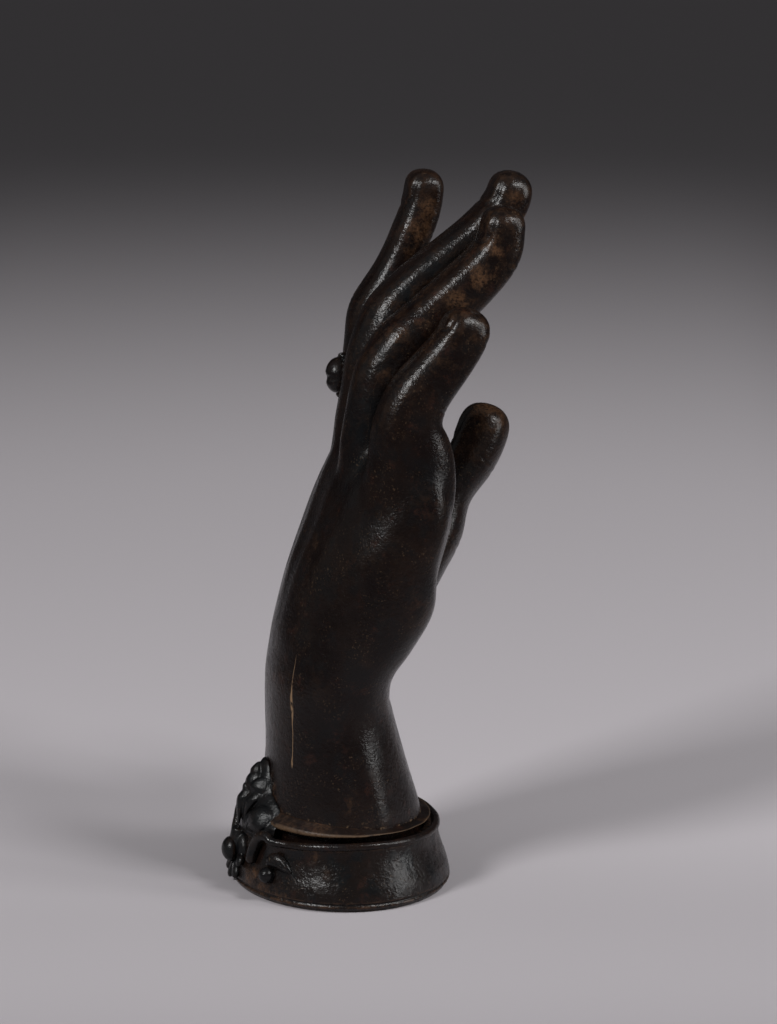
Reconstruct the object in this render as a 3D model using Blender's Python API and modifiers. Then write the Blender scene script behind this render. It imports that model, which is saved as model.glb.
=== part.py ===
# Hand paperweight: a cast bronze right hand that stands in a flared oval cuff.
#
# +X is the palm side, -X the back of the hand, +Y the thumb side, +Z up.
# The origin is the middle of the flat underside. Sizes are written in
# millimetres, and MM turns them into the metres that Blender works in.

import math

import bmesh
import bpy
import numpy as np
from mathutils import Matrix, Vector

MM = 0.001

# Clearance between two pieces that touch or fit into each other
GAP = 0.3

# How far a cutter reaches past the face that it opens
CUT_PAST = 1.0

# Every turned piece is an oval: its Y half axis is this times its X half axis
OVAL = 1.2
TURN_STEPS = 48

# Cuff: half axes are given along X
CUFF_HEIGHT = 10.6
CUFF_FOOT_HALF = 17.9
CUFF_RIM_HALF = 16.0
CUFF_WALL = 2.1
FOOT_CHAMFER_HEIGHT = 0.8
FOOT_CHAMFER_DEPTH = 0.35
SHELF_THICKNESS = 1.7
SHELF_OPENING_HALF = 9.0

# The mouth of the cuff dips towards the palm: all above DIP_FROM by the full amount
MOUTH_DIP = 1.3
DIP_FROM = 9.2

# Rolled wire round the mouth of the cuff, with a scroll at both ends
RIM_WIRE_RADIUS = 0.65
RIM_WIRE_POINTS = 40
SCROLL_PLACE = 8.8
SCROLL_RADIUS = 1.9
SCROLL_END_RADIUS = 0.95
SCROLL_TURN = 270
SCROLL_POINTS = 11
SCROLL_RAMP = 14
SCROLL_RISE = 0.3

# Collar that closes the mouth of the cuff round the wrist
COLLAR_WIDTH = 1.2
COLLAR_HEIGHT = 1.4

# Section of the collar from its inner top edge round to its inner bottom edge:
# (share of width, share of height)
COLLAR_SHAPE = ((0, 1), (0.35, 0.9), (1, 0.55), (1, 0.3), (0.75, 0), (0, 0))

# Plate that closes the underside, and the two screws that hold hand and cuff
BASE_PLATE_THICKNESS = 1.9
BASE_PLATE_MARGIN = 2.2
BASE_PLATE_EDGE = 0.2
SCREW_SPACING = 17.0
SCREW_RADIUS = 1.5
SCREW_TIP_EDGE = 0.4
SCREW_HEAD_RADIUS = 2.8
SCREW_HEAD_HEIGHT = 1.3
SCREW_HEAD_EDGE = 0.2
SCREW_LENGTH = 11.5
SCREW_RECESS = 0.2
SLOT_WIDTH = 0.7
SLOT_DEPTH = 0.6

# Palmette on the back of the cuff and the ball-headed rivet through its hub
BOSS_HEIGHT = 5.4
BOSS_RADIUS = 1.9
HUB_PROUD = 0.7
HUB_RADIUS = 3.2
RIVET_SHANK_RADIUS = 0.8
RIVET_TAIL_RADIUS = 1.5
RIVET_TAIL_END_RADIUS = 1.0
RIVET_TAIL_THICKNESS = 0.7
CREST_ROOT_DROP = 2.0
CREST_PROUD = 1.1
CREST_VOXEL = 0.25
CREST_TRIANGLES = 1650

# Outer face of the palmette above the cuff: (height over its mouth, half axis along X)
CREST_FACE = (
    (0.2, 17.3),
    (2.3, 16.7),
    (4.7, 15.9),
    (6.8, 14.9),
    (9.5, 13.7),
)

# Petals of the palmette, the upper ones round its root and the lower ones
# round the rivet: (turn from upright in degrees, start, length, width, thickness)
UPPER_PETALS = (
    (0, 1.6, 8.4, 3.2, 1.3),
    (26, 2.0, 8.0, 2.9, 1.2),
    (50, 2.2, 7.2, 2.7, 1.1),
    (74, 1.6, 5.2, 2.6, 1.1),
)
LOWER_PETALS = (
    (0, -1.0, 9.0, 6.0, 1.1),
    (180, 0.9, 3.7, 2.4, 1.1),
    (142, 1.0, 4.2, 2.3, 1.1),
    (104, 1.0, 4.0, 2.2, 1.0),
)

# Body behind the upper petals, and the knob on top: heights are over the cuff's mouth
CREST_CORE_PLACE = (-13.8, 1.2)
CREST_CORE_RADII = (2.5, 5.6, 4.8)
CREST_KNOB_HEIGHT = 8.4
CREST_KNOB_RADIUS = 1.1

# Bead and leaf on each side of the palmette: turn is measured from the back
BEAD_RADIUS = 0.95
BEAD_TURN = 36
BEAD_HEIGHT = 5.2
LEAF_TURN = 47.5
LEAF_HEIGHT = 5.7
LEAF_LENGTH = 5.0
LEAF_WIDTH = 2.5
LEAF_PROUD = 1.1

# Wrist where it stands in the cuff, half thickness along X
WRIST_HALF = 13.2

# Hand casting
RING_POINTS = 40
SPAN_STEPS = 6
TIP_STEPS = 7
TIP_SHARE = 1.15
TIP_END_ANGLE = 86
HAND_VOXEL = 0.5
HAND_TRIANGLES = 5300

# Skin smoothing: the hand is softened a lot up to this height, and only a little
# on the fingers, from where the change is complete
SOFT_TOP = 70.0
FIRM_BOTTOM = 80.0
SOFT_PASSES = 44
FINE_PASSES = 5

# Wrist and palm sections, from below the seat to the roots of the fingers:
# (x, y, z of the middle, lean in degrees, half thickness, half breadth,
#  arch across the palm, squareness)
PALM_SECTIONS = (
    (0.0, 0.0, 1.0, 0, WRIST_HALF, WRIST_HALF * OVAL, 0.0, 2.0),
    (0.0, 0.0, 11.0, 0, WRIST_HALF, WRIST_HALF * OVAL, 0.0, 2.0),
    (-0.7, 0.0, 20.0, 0, 11.4, 15.0, 0.0, 2.1),
    (-1.9, 0.2, 28.2, 2, 10.1, 14.4, 0.2, 2.2),
    (-2.4, 0.4, 33.6, 6, 9.4, 15.2, 0.5, 2.3),
    (-1.4, 0.5, 37.6, 8, 9.7, 16.4, 0.9, 2.3),
    (0.2, 0.5, 41.6, 10, 10.6, 17.7, 1.6, 2.3),
    (2.9, 0.5, 49.5, 12, 11.0, 19.7, 2.8, 2.3),
    (4.4, 0.5, 57.4, 14, 9.0, 20.6, 3.2, 2.3),
    (6.7, 0.3, 65.3, 14, 7.9, 20.4, 3.8, 2.3),
    (7.8, 0.1, 70.3, 14, 6.6, 19.6, 3.4, 2.3),
    (8.1, 0.0, 74.0, 14, 4.8, 18.2, 2.6, 2.2),
    (8.0, 0.0, 76.6, 14, 2.4, 15.6, 1.6, 2.0),
)

# Fingers from inside the palm to the tip: (x, y, z, half thickness, half width)
LITTLE_FINGER = (
    (6.8, -13.0, 54.6, 6.6, 5.2),
    (8.4, -13.5, 64.5, 7.5, 5.0),
    (9.0, -14.1, 72.0, 7.0, 4.8),
    (8.3, -14.4, 78.5, 5.6, 4.6),
    (10.2, -14.5, 83.5, 4.8, 4.5),
    (15.0, -14.5, 89.5, 4.2, 4.0),
    (17.5, -14.5, 93.5, 3.8, 3.9),
    (17.8, -14.5, 97.2, 3.4, 3.6),
)
RING_FINGER = (
    (3.4, -5.0, 57.1, 6.0, 5.2),
    (4.9, -4.8, 68.9, 5.8, 5.1),
    (5.2, -4.8, 78.5, 5.0, 4.9),
    (6.4, -4.8, 85.0, 4.6, 4.9),
    (9.5, -4.8, 89.6, 4.5, 4.9),
    (13.7, -4.8, 93.5, 4.2, 4.5),
    (19.5, -4.8, 98.3, 4.3, 4.4),
    (24.5, -4.8, 103.3, 3.8, 4.2),
    (25.9, -4.8, 107.7, 3.3, 4.0),
    (25.8, -4.8, 111.2, 3.0, 3.8),
)
MIDDLE_FINGER = (
    (4.0, 4.4, 57.6, 6.0, 5.2),
    (5.7, 4.6, 69.5, 5.6, 5.1),
    (6.2, 4.7, 79.4, 4.9, 4.9),
    (7.4, 4.9, 86.8, 4.7, 4.9),
    (9.9, 5.0, 92.2, 4.7, 4.9),
    (14.0, 5.0, 96.8, 4.3, 4.5),
    (20.1, 5.0, 101.6, 4.2, 4.4),
    (25.7, 5.0, 106.3, 3.8, 4.2),
    (29.1, 5.0, 110.9, 3.5, 4.0),
    (29.8, 5.0, 115.7, 3.3, 3.8),
)
INDEX_FINGER = (
    (4.8, 12.8, 58.1, 6.0, 5.2),
    (6.7, 14.0, 69.1, 4.9, 4.9),
    (7.6, 15.2, 78.1, 4.2, 4.5),
    (8.3, 16.1, 85.5, 4.1, 4.5),
    (9.4, 16.6, 90.9, 4.0, 4.5),
    (12.9, 17.0, 97.9, 3.3, 4.0),
    (15.9, 17.3, 103.9, 3.2, 3.9),
    (17.6, 17.5, 108.7, 3.1, 3.7),
    (18.2, 17.6, 113.8, 2.9, 3.5),
)
THUMB = (
    (-0.5, 4.0, 26.0, 4.5, 5.0),
    (2.2, 8.6, 34.6, 6.2, 6.8),
    (8.0, 13.0, 42.4, 7.4, 7.6),
    (14.0, 16.8, 48.6, 7.4, 6.9),
    (19.2, 18.8, 53.3, 5.4, 5.5),
    (23.4, 20.4, 58.8, 4.2, 4.9),
    (27.1, 21.4, 64.0, 4.2, 4.7),
    (29.3, 22.0, 68.7, 4.1, 4.5),
    (30.7, 22.2, 72.9, 3.6, 4.1),
)
# Web of skin between the thumb and the palm, from inside the palm to its edge
WEB = (
    (-1.0, 6.0, 34.0, 4.5, 6.0),
    (3.0, 10.4, 43.0, 4.6, 7.0),
    (6.8, 13.6, 50.6, 3.9, 7.6),
    (9.8, 15.6, 56.2, 3.0, 7.4),
    (11.6, 16.6, 59.6, 2.2, 6.4),
)
FINGER_ACROSS = (0, 1, 0)
THUMB_ACROSS = (0.45, 0.75, -0.2)
WEB_ACROSS = (0.5, 0.2, -0.84)

# Finger ring: its place is measured along the index finger from the first station
RING_PLACE = 22.6
RING_SINK = 0.5
RING_BAND_THICKNESS = 0.8
RING_BAND_WIDTH = 2.0
RING_BAND_EDGE = 0.25
RING_STEPS = 28
COLLET_RISE = 0.12
COLLET_HALF_LENGTH = 3.8
COLLET_OVAL = 0.78
COLLET_HEIGHT = 1.0
COLLET_EDGE = 0.3
COLLET_FLOOR = 0.4
STONE_HALF_LENGTH = 2.9
STONE_HEIGHT = 1.7
STONE_EDGE = 0.1
STONE_FULLNESS = 0.8

# Half axis of the cuff from its rim to its foot: (share of height, share of flare)
CUFF_FLARE = ((1.0, 0.0), (0.8, 0.1), (0.55, 0.42), (0.3, 0.82), (0.15, 0.97))

# Heights and half axes that follow from the sizes above
SHELF_UNDERSIDE = BASE_PLATE_THICKNESS + GAP
SHELF_TOP = SHELF_UNDERSIDE + SHELF_THICKNESS
HAND_SEAT = SHELF_TOP + GAP
BASE_PLATE_HALF = CUFF_FOOT_HALF - BASE_PLATE_MARGIN
RIM_WIRE_HALF = CUFF_RIM_HALF - RIM_WIRE_RADIUS / 2
RIM_WIRE_HEIGHT = CUFF_HEIGHT + GAP / 2
COLLAR_INNER_HALF = WRIST_HALF + GAP
COLLAR_OUTER_HALF = COLLAR_INNER_HALF + COLLAR_WIDTH
COLLAR_BOTTOM = CUFF_HEIGHT + GAP
COLLAR_TOP = COLLAR_BOTTOM + COLLAR_HEIGHT
CREST_ROOT = CUFF_HEIGHT - CREST_ROOT_DROP

# Colours, roughness and metal of each material
MATERIALS = {
    "hand_bronze": ((0.055, 0.038, 0.030), 0.38, 0.85),
    "cuff_bronze": ((0.050, 0.040, 0.036), 0.42, 0.85),
    "collar_bronze": ((0.110, 0.075, 0.045), 0.50, 0.80),
    "wire_bronze": ((0.090, 0.080, 0.072), 0.30, 0.90),
    "palmette_bronze": ((0.045, 0.038, 0.036), 0.40, 0.85),
    "rivet_bronze": ((0.050, 0.042, 0.040), 0.35, 0.85),
    "bead_bronze": ((0.070, 0.060, 0.055), 0.32, 0.85),
    "leaf_bronze": ((0.060, 0.050, 0.045), 0.36, 0.85),
    "ring_bronze": ((0.060, 0.045, 0.036), 0.40, 0.85),
    "stone_bronze": ((0.070, 0.050, 0.045), 0.34, 0.80),
    "plate_brass": ((0.150, 0.105, 0.055), 0.45, 0.90),
    "screw_steel": ((0.160, 0.150, 0.140), 0.40, 0.95),
}


# Scene helpers

def clear_scene():
    for old in list(bpy.data.objects):
        bpy.data.objects.remove(old)


def new_collection(name):
    collection = bpy.data.collections.new(name)
    bpy.context.scene.collection.children.link(collection)
    return collection


def add_object(name, data, collection):
    obj = bpy.data.objects.new(name, data)
    collection.objects.link(obj)
    return obj


def give_material(obj, name):
    material = bpy.data.materials.get(name)
    if material is None:
        colour, roughness, metallic = MATERIALS[name]
        material = bpy.data.materials.new(name)
        material.use_nodes = True
        shader = material.node_tree.nodes["Principled BSDF"]
        shader.inputs["Base Color"].default_value = (*colour, 1.0)
        shader.inputs["Roughness"].default_value = roughness
        shader.inputs["Metallic"].default_value = metallic
    obj.data.materials.clear()
    obj.data.materials.append(material)


def shade(obj, angle=35):
    obj.data.shade_smooth()
    obj.data.set_sharp_from_angle(angle=math.radians(angle))


def make_cutter(obj):
    obj.hide_render = True
    obj.display_type = "WIRE"
    return obj


def cut(obj, cutter, operation="DIFFERENCE"):
    boolean = obj.modifiers.new(operation.lower() + "_" + cutter.name, "BOOLEAN")
    boolean.operation = operation
    boolean.object = cutter
    boolean.solver = "EXACT"


def as_mesh(obj, collection):
    """The object as the viewport shows it, as a plain mesh in its place."""
    graph = bpy.context.evaluated_depsgraph_get()
    mesh = bpy.data.meshes.new_from_object(obj.evaluated_get(graph))
    weld = bmesh.new()
    weld.from_mesh(mesh)
    bmesh.ops.remove_doubles(weld, verts=weld.verts, dist=1e-7)
    bmesh.ops.recalc_face_normals(weld, faces=weld.faces)
    weld.to_mesh(mesh)
    weld.free()
    name = obj.name
    place = obj.matrix_world.copy()
    bpy.data.objects.remove(obj)
    solid = add_object(name, mesh, collection)
    solid.matrix_world = place
    return solid


# Form helpers

def turned(name, profile, collection, closed=False, steps=TURN_STEPS, oval=OVAL):
    """A profile of (half axis, height) points, run down its outer side, turned round Z."""
    mesh = bpy.data.meshes.new(name)
    points = [(half * MM, 0, height * MM) for half, height in profile]
    edges = [(i, i + 1) for i in range(len(points) - 1)]
    if closed:
        edges.append((len(points) - 1, 0))
    mesh.from_pydata(points, edges, [])
    obj = add_object(name, mesh, collection)
    screw = obj.modifiers.new("turn", "SCREW")
    screw.steps = steps
    screw.render_steps = steps
    screw.use_merge_vertices = True
    screw.merge_threshold = 1e-6
    obj.scale = (1, oval, 1)
    return obj


def loft(name, rings, collection):
    """A closed skin over rings that all have the same number of points."""
    count, around = rings.shape[:2]
    faces = [
        (r * around + i, r * around + (i + 1) % around,
         (r + 1) * around + (i + 1) % around, (r + 1) * around + i)
        for r in range(count - 1) for i in range(around)
    ]
    faces.append(tuple(reversed(range(around))))
    faces.append(tuple(range((count - 1) * around, count * around)))
    mesh = bpy.data.meshes.new(name)
    mesh.from_pydata((rings.reshape(-1, 3) * MM).tolist(), [], faces)
    outward = bmesh.new()
    outward.from_mesh(mesh)
    bmesh.ops.recalc_face_normals(outward, faces=outward.faces)
    outward.to_mesh(mesh)
    outward.free()
    return add_object(name, mesh, collection)


def smooth_rows(rows, steps):
    """Catmull-Rom rows between the given ones, in equal steps."""
    rows = np.array(rows, float)
    padded = np.vstack([2 * rows[0] - rows[1], rows, 2 * rows[-1] - rows[-2]])
    t = np.linspace(0, 1, steps, endpoint=False)[:, None]
    spans = []
    for a, b, c, d in zip(padded, padded[1:], padded[2:], padded[3:]):
        spans.append(
            0.5 * (2 * b + (c - a) * t + (2 * a - 5 * b + 4 * c - d) * t**2
                   + (3 * b - a - 3 * c + d) * t**3)
        )
    return np.vstack(spans + [rows[-1:]])


def unit(v):
    return v / np.linalg.norm(v, axis=-1, keepdims=True)


def finger_rows(stations, across):
    """Middle line, half sizes, length so far and frame of a finger."""
    rows = smooth_rows(stations, SPAN_STEPS)
    centre, thick, wide = rows[:, :3], rows[:, 3], rows[:, 4]
    tangent = unit(np.gradient(centre, axis=0))
    side = np.array(across, float)
    side = unit(side - tangent * (tangent @ side)[:, None])
    front = np.cross(side, tangent)
    length = np.concatenate([[0], np.cumsum(np.linalg.norm(np.diff(centre, axis=0), axis=1))])
    return centre, thick, wide, length, tangent, side, front


def finger(name, stations, across, collection):
    centre, thick, wide, length, tangent, side, front = finger_rows(stations, across)
    # The last station is the end of the finger, which is rounded off
    left = length[-1] - length
    keep = left > thick[-1] * TIP_SHARE
    reach = left[keep][-1]
    angles = np.linspace(0, math.pi / 2, TIP_STEPS + 1)[1:]
    angles[-1] = math.radians(TIP_END_ANGLE)
    tip_centre = centre[keep][-1] + np.outer(np.sin(angles) * reach, tangent[keep][-1])
    centre = np.vstack([centre[keep], tip_centre])
    side = np.vstack([side[keep], np.repeat(side[keep][-1:], len(angles), 0)])
    front = np.vstack([front[keep], np.repeat(front[keep][-1:], len(angles), 0)])
    thick = np.concatenate([thick[keep], thick[keep][-1] * np.cos(angles)])
    wide = np.concatenate([wide[keep], wide[keep][-1] * np.cos(angles)])
    phi = np.linspace(0, 2 * math.pi, RING_POINTS, endpoint=False)[None, :, None]
    rings = (centre[:, None] + np.cos(phi) * wide[:, None, None] * side[:, None]
             + np.sin(phi) * thick[:, None, None] * front[:, None])
    return loft(name, rings, collection)


def palm(name, sections, collection, grow=0.0):
    phi = np.linspace(0, 2 * math.pi, RING_POINTS * 2, endpoint=False)
    c, s = np.cos(phi), np.sin(phi)
    rings = []
    for x, y, z, lean, half_thick, half_wide, arch, square in smooth_rows(sections, SPAN_STEPS):
        across = np.sign(c) * np.abs(c) ** (2 / square)
        through = np.sign(s) * np.abs(s) ** (2 / square) * (half_thick + grow) + arch * across**2
        lean = math.radians(lean)
        rings.append(np.stack([x + through * math.cos(lean), y + across * (half_wide + grow),
                               z - through * math.sin(lean)], 1))
    return loft(name, np.array(rings), collection)


# The hand

def softness(points):
    """1 where the casting is broad and smooth, 0 on the fingers with their grooves."""
    height = points[:, 2] / MM
    return np.clip((FIRM_BOTTOM - height) / (FIRM_BOTTOM - SOFT_TOP), 0, 1)


def build_hand(parts, cutters):
    forms = [
        palm("palm_form", PALM_SECTIONS, parts),
        finger("little_form", LITTLE_FINGER, FINGER_ACROSS, parts),
        finger("ring_form", RING_FINGER, FINGER_ACROSS, parts),
        finger("middle_form", MIDDLE_FINGER, FINGER_ACROSS, parts),
        finger("index_form", INDEX_FINGER, FINGER_ACROSS, parts),
        finger("thumb_form", THUMB, THUMB_ACROSS, parts),
        finger("web_form", WEB, WEB_ACROSS, parts),
    ]
    with bpy.context.temp_override(active_object=forms[0], selected_editable_objects=forms):
        bpy.ops.object.join()
    skin = forms[0]
    skin.name = "hand"
    remesh = skin.modifiers.new("one_skin", "REMESH")
    remesh.mode = "VOXEL"
    remesh.voxel_size = HAND_VOXEL * MM
    hand = as_mesh(skin, parts)
    hand.name = "hand"

    points = np.empty(len(hand.data.vertices) * 3)
    hand.data.vertices.foreach_get("co", points)
    weights = softness(points.reshape(-1, 3))
    group = hand.vertex_groups.new(name="broad")
    for index, weight in enumerate(weights):
        if weight > 0:
            group.add([index], float(weight), "REPLACE")
    broad = hand.modifiers.new("soften_broad", "SMOOTH")
    broad.iterations = SOFT_PASSES
    broad.vertex_group = "broad"
    fine = hand.modifiers.new("soften_fine", "SMOOTH")
    fine.iterations = FINE_PASSES
    fewer = hand.modifiers.new("fewer_faces", "DECIMATE")
    fewer.ratio = HAND_TRIANGLES / (2 * len(hand.data.polygons))
    hand = as_mesh(hand, parts)
    hand.name = "hand"
    for name in ("below_seat", "screw_hole_a", "screw_hole_b", "band_clearance",
                 "collet_clearance"):
        cut(hand, cutters.objects[name])
    give_material(hand, "hand_bronze")
    shade(hand, 60)
    return hand


# The cuff and what closes it

def cuff_outline():
    """Outer face of the cuff from rim to foot, as (half axis, height)."""
    spread = CUFF_FOOT_HALF - CUFF_RIM_HALF
    outline = [(CUFF_RIM_HALF + spread * flare, CUFF_HEIGHT * share) for share, flare in CUFF_FLARE]
    outline.append((CUFF_FOOT_HALF, FOOT_CHAMFER_HEIGHT))
    outline.append((CUFF_FOOT_HALF - FOOT_CHAMFER_DEPTH, 0.0))
    return outline


def cuff_half(height):
    """Half axis of the cuff's outer face along X at a height."""
    halves, heights = zip(*reversed(cuff_outline()))
    return float(np.interp(height, heights, halves))


def dip(x, height):
    """How far a point of the cuff's mouth is lowered, growing towards the palm."""
    share = np.clip(x / CUFF_RIM_HALF, 0, 1) ** 2
    return MOUTH_DIP * share * np.clip((height - SHELF_TOP) / (DIP_FROM - SHELF_TOP), 0, 1)


def dipped(obj, collection):
    """The turned piece as a mesh whose mouth dips like the cuff's."""
    name = obj.name
    solid = as_mesh(obj, collection)
    solid.name = name
    for vertex in solid.data.vertices:
        vertex.co.z -= dip(vertex.co.x / MM, vertex.co.z / MM) * MM
    return solid


def wire_seat():
    """Hollow in the top edge of the cuff that the rim wire lies in, from top to side."""
    reach = RIM_WIRE_RADIUS + GAP
    start = math.pi + math.asin((RIM_WIRE_HEIGHT - CUFF_HEIGHT) / reach)
    end = 2 * math.pi - math.acos((CUFF_RIM_HALF - RIM_WIRE_HALF) / reach)
    return [(RIM_WIRE_HALF + reach * math.cos(a), RIM_WIRE_HEIGHT + reach * math.sin(a))
            for a in np.linspace(start, end, 5)]


def build_cuff(parts, cutters):
    inner_wall = [(half - CUFF_WALL, height) for half, height in cuff_outline()
                  if height > SHELF_TOP]
    rebate = BASE_PLATE_HALF + GAP
    profile = [inner_wall[0]]
    profile += wire_seat()
    profile += cuff_outline()[1:]
    profile += [(rebate, 0.0), (rebate, SHELF_UNDERSIDE)]
    profile += [(SHELF_OPENING_HALF, SHELF_UNDERSIDE), (SHELF_OPENING_HALF, SHELF_TOP)]
    profile += [(cuff_half(SHELF_TOP) - CUFF_WALL, SHELF_TOP)]
    profile += list(reversed(inner_wall[1:]))
    cuff = dipped(turned("cuff_band", profile, parts, closed=True), parts)
    give_material(cuff, "cuff_bronze")
    cut(cuff, cutters.objects["rivet_hole"])
    return cuff


def build_collar(parts):
    profile = [(COLLAR_INNER_HALF + COLLAR_WIDTH * across, COLLAR_BOTTOM + COLLAR_HEIGHT * up)
               for across, up in COLLAR_SHAPE]
    collar = dipped(turned("wrist_collar", profile, parts, closed=True), parts)
    give_material(collar, "collar_bronze")
    return collar


def on_cuff(y, height, proud):
    """A point on the back of the cuff, so far outside its face."""
    half = cuff_half(height) + proud
    return -half * math.sqrt(1 - (y / (half * OVAL)) ** 2), y, height


def rim_route():
    """Middle line of the rim wire, from the scroll on the +Y side to the other one."""
    proud = GAP + RIM_WIRE_RADIUS
    outer_half = cuff_half(CUFF_HEIGHT) + proud
    start_turn = math.degrees(math.asin(SCROLL_PLACE / (outer_half * OVAL)))
    scroll = []
    for step in range(SCROLL_POINTS, 0, -1):
        share = step / SCROLL_POINTS
        angle = math.radians(90 + SCROLL_TURN * share)
        radius = SCROLL_RADIUS + (SCROLL_END_RADIUS - SCROLL_RADIUS) * share
        height = RIM_WIRE_HEIGHT + SCROLL_RISE - SCROLL_RADIUS + radius * math.sin(angle)
        scroll.append(on_cuff(SCROLL_PLACE + radius * math.cos(angle), height, proud))
    mouth = []
    for turn in np.linspace(start_turn, 180, RIM_WIRE_POINTS // 2, endpoint=False):
        ramp = max(0.0, 1 - (turn - start_turn) / SCROLL_RAMP)
        ramp = ramp * ramp * (3 - 2 * ramp)
        half = RIM_WIRE_HALF + (outer_half - RIM_WIRE_HALF) * ramp
        turn = math.radians(turn)
        x = -half * math.cos(turn)
        mouth.append((x, half * OVAL * math.sin(turn),
                      RIM_WIRE_HEIGHT + SCROLL_RISE * ramp - dip(x, RIM_WIRE_HEIGHT)))
    half_way = scroll + mouth
    front = (RIM_WIRE_HALF, 0.0, RIM_WIRE_HEIGHT - dip(RIM_WIRE_HALF, RIM_WIRE_HEIGHT))
    return half_way + [front] + [(x, -y, z) for x, y, z in reversed(half_way)]


def wire(name, points, radius, collection):
    curve = bpy.data.curves.new(name, "CURVE")
    curve.dimensions = "3D"
    curve.bevel_depth = radius * MM
    curve.bevel_resolution = 2
    curve.use_fill_caps = True
    spline = curve.splines.new("POLY")
    spline.points.add(len(points) - 1)
    for point, place in zip(spline.points, points):
        point.co = (*(value * MM for value in place), 1.0)
    return add_object(name, curve, collection)


def build_rim_wire(parts):
    rim = as_mesh(wire("cuff_rim_wire", rim_route(), RIM_WIRE_RADIUS, parts), parts)
    rim.name = "cuff_rim_wire"
    give_material(rim, "wire_bronze")
    shade(rim)
    return rim


def build_base_plate(parts, cutters):
    profile = [(0.0, BASE_PLATE_THICKNESS), (BASE_PLATE_HALF, BASE_PLATE_THICKNESS),
               (BASE_PLATE_HALF, BASE_PLATE_EDGE), (BASE_PLATE_HALF - BASE_PLATE_EDGE, 0.0),
               (0.0, 0.0)]
    plate = turned("base_plate", profile, parts)
    give_material(plate, "plate_brass")
    for side in ("a", "b"):
        cut(plate, cutters.objects["screw_hole_" + side])
    return plate


def screw_profile(grow):
    """A countersunk screw with its head down, or the hole for it."""
    head_top = SCREW_RECESS + SCREW_HEAD_HEIGHT
    tip = SCREW_LENGTH + grow
    bottom = SCREW_RECESS if grow == 0 else -CUT_PAST
    shank = SCREW_RADIUS + grow
    head = SCREW_HEAD_RADIUS + grow
    return [
        (0.0, tip), (shank - SCREW_TIP_EDGE, tip), (shank, tip - SCREW_TIP_EDGE),
        (shank, head_top), (head, SCREW_RECESS + SCREW_HEAD_EDGE), (head, bottom),
        (0.0, bottom),
    ]


def screw_places():
    return (("a", SCREW_SPACING / 2), ("b", -SCREW_SPACING / 2))


def build_screws(parts, cutters):
    for side, y in screw_places():
        screw = turned("base_screw_" + side, screw_profile(0), parts, steps=24, oval=1)
        screw.location.y = y * MM
        give_material(screw, "screw_steel")
        cut(screw, cutters.objects["screw_slot_" + side])


# The palmette, its rivet, and the bead and leaf on each side

def crest_point(y, height, inside=0.0):
    """A point on the palmette's outer face, which follows the cuff and then the wrist."""
    face = [(level, cuff_half(level) + CREST_PROUD) for level in np.linspace(0, CREST_ROOT, 6)]
    face += [(CUFF_HEIGHT + over, half) for over, half in CREST_FACE]
    heights, halves = zip(*face)
    half = float(np.interp(height, heights, halves)) - inside
    return Vector((-half * math.sqrt(1 - (y / (half * OVAL)) ** 2), y, height))


def add_blob(mesh, centre, radii, turn=Matrix.Identity(3)):
    scale = Matrix.Diagonal([radius * MM for radius in radii])
    place = Matrix.Translation(Vector(centre) * MM) @ (turn @ scale).to_4x4()
    bmesh.ops.create_uvsphere(mesh, u_segments=18, v_segments=10, radius=1, matrix=place)


def add_petal(mesh, root, turn, start, length, width, thickness):
    """A petal that lies in the palmette's outer face and points away from its root."""
    way = math.radians(turn)
    reach = start + length / 2
    y, height = reach * math.sin(way), root + reach * math.cos(way)
    step = 0.1
    along = (crest_point(y + step * math.sin(way), height + step * math.cos(way))
             - crest_point(y, height)).normalized()
    beside = (crest_point(y + step * math.cos(way), height - step * math.sin(way))
              - crest_point(y, height)).normalized()
    out = along.cross(beside).normalized()
    beside = out.cross(along)
    turn = Matrix((along, beside, out)).transposed()
    add_blob(mesh, crest_point(y, height, thickness), (length / 2, width / 2, thickness), turn)


def build_palmette(parts, cutters):
    mesh = bmesh.new()
    for petals, root in ((UPPER_PETALS, CREST_ROOT), (LOWER_PETALS, BOSS_HEIGHT)):
        for turn, *shape in petals:
            add_petal(mesh, root, turn, *shape)
            if turn % 180:
                add_petal(mesh, root, -turn, *shape)
    core_x, core_over = CREST_CORE_PLACE
    add_blob(mesh, (core_x, 0, CUFF_HEIGHT + core_over), CREST_CORE_RADII)
    knob = crest_point(0, CUFF_HEIGHT + CREST_KNOB_HEIGHT, CREST_KNOB_RADIUS)
    add_blob(mesh, knob, [CREST_KNOB_RADIUS] * 3)
    hub_half = cuff_half(BOSS_HEIGHT) + CREST_PROUD
    add_blob(mesh, (HUB_RADIUS / 2 - hub_half, 0, BOSS_HEIGHT),
             (HUB_RADIUS / 2, HUB_RADIUS, HUB_RADIUS))
    data = bpy.data.meshes.new("palmette")
    mesh.to_mesh(data)
    mesh.free()
    crest = add_object("palmette", data, parts)
    remesh = crest.modifiers.new("one_skin", "REMESH")
    remesh.mode = "VOXEL"
    remesh.voxel_size = CREST_VOXEL * MM
    soften = crest.modifiers.new("soften", "SMOOTH")
    soften.iterations = 2
    crest = as_mesh(crest, parts)
    crest.name = "palmette"
    fewer = crest.modifiers.new("fewer_faces", "DECIMATE")
    fewer.ratio = CREST_TRIANGLES / (2 * len(crest.data.polygons))
    for name in ("cuff_clearance", "wrist_clearance", "wire_clearance", "rivet_hole"):
        cut(crest, cutters.objects[name])
    cut(crest, cutters.objects["boss_seat"])
    give_material(crest, "palmette_bronze")
    shade(crest, 60)
    return crest


def towards_back(obj):
    """Turn a piece that was made along +Z so that it points to the back of the hand."""
    obj.rotation_euler = (0, -math.pi / 2, 0)
    obj.location.z = BOSS_HEIGHT * MM


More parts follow.
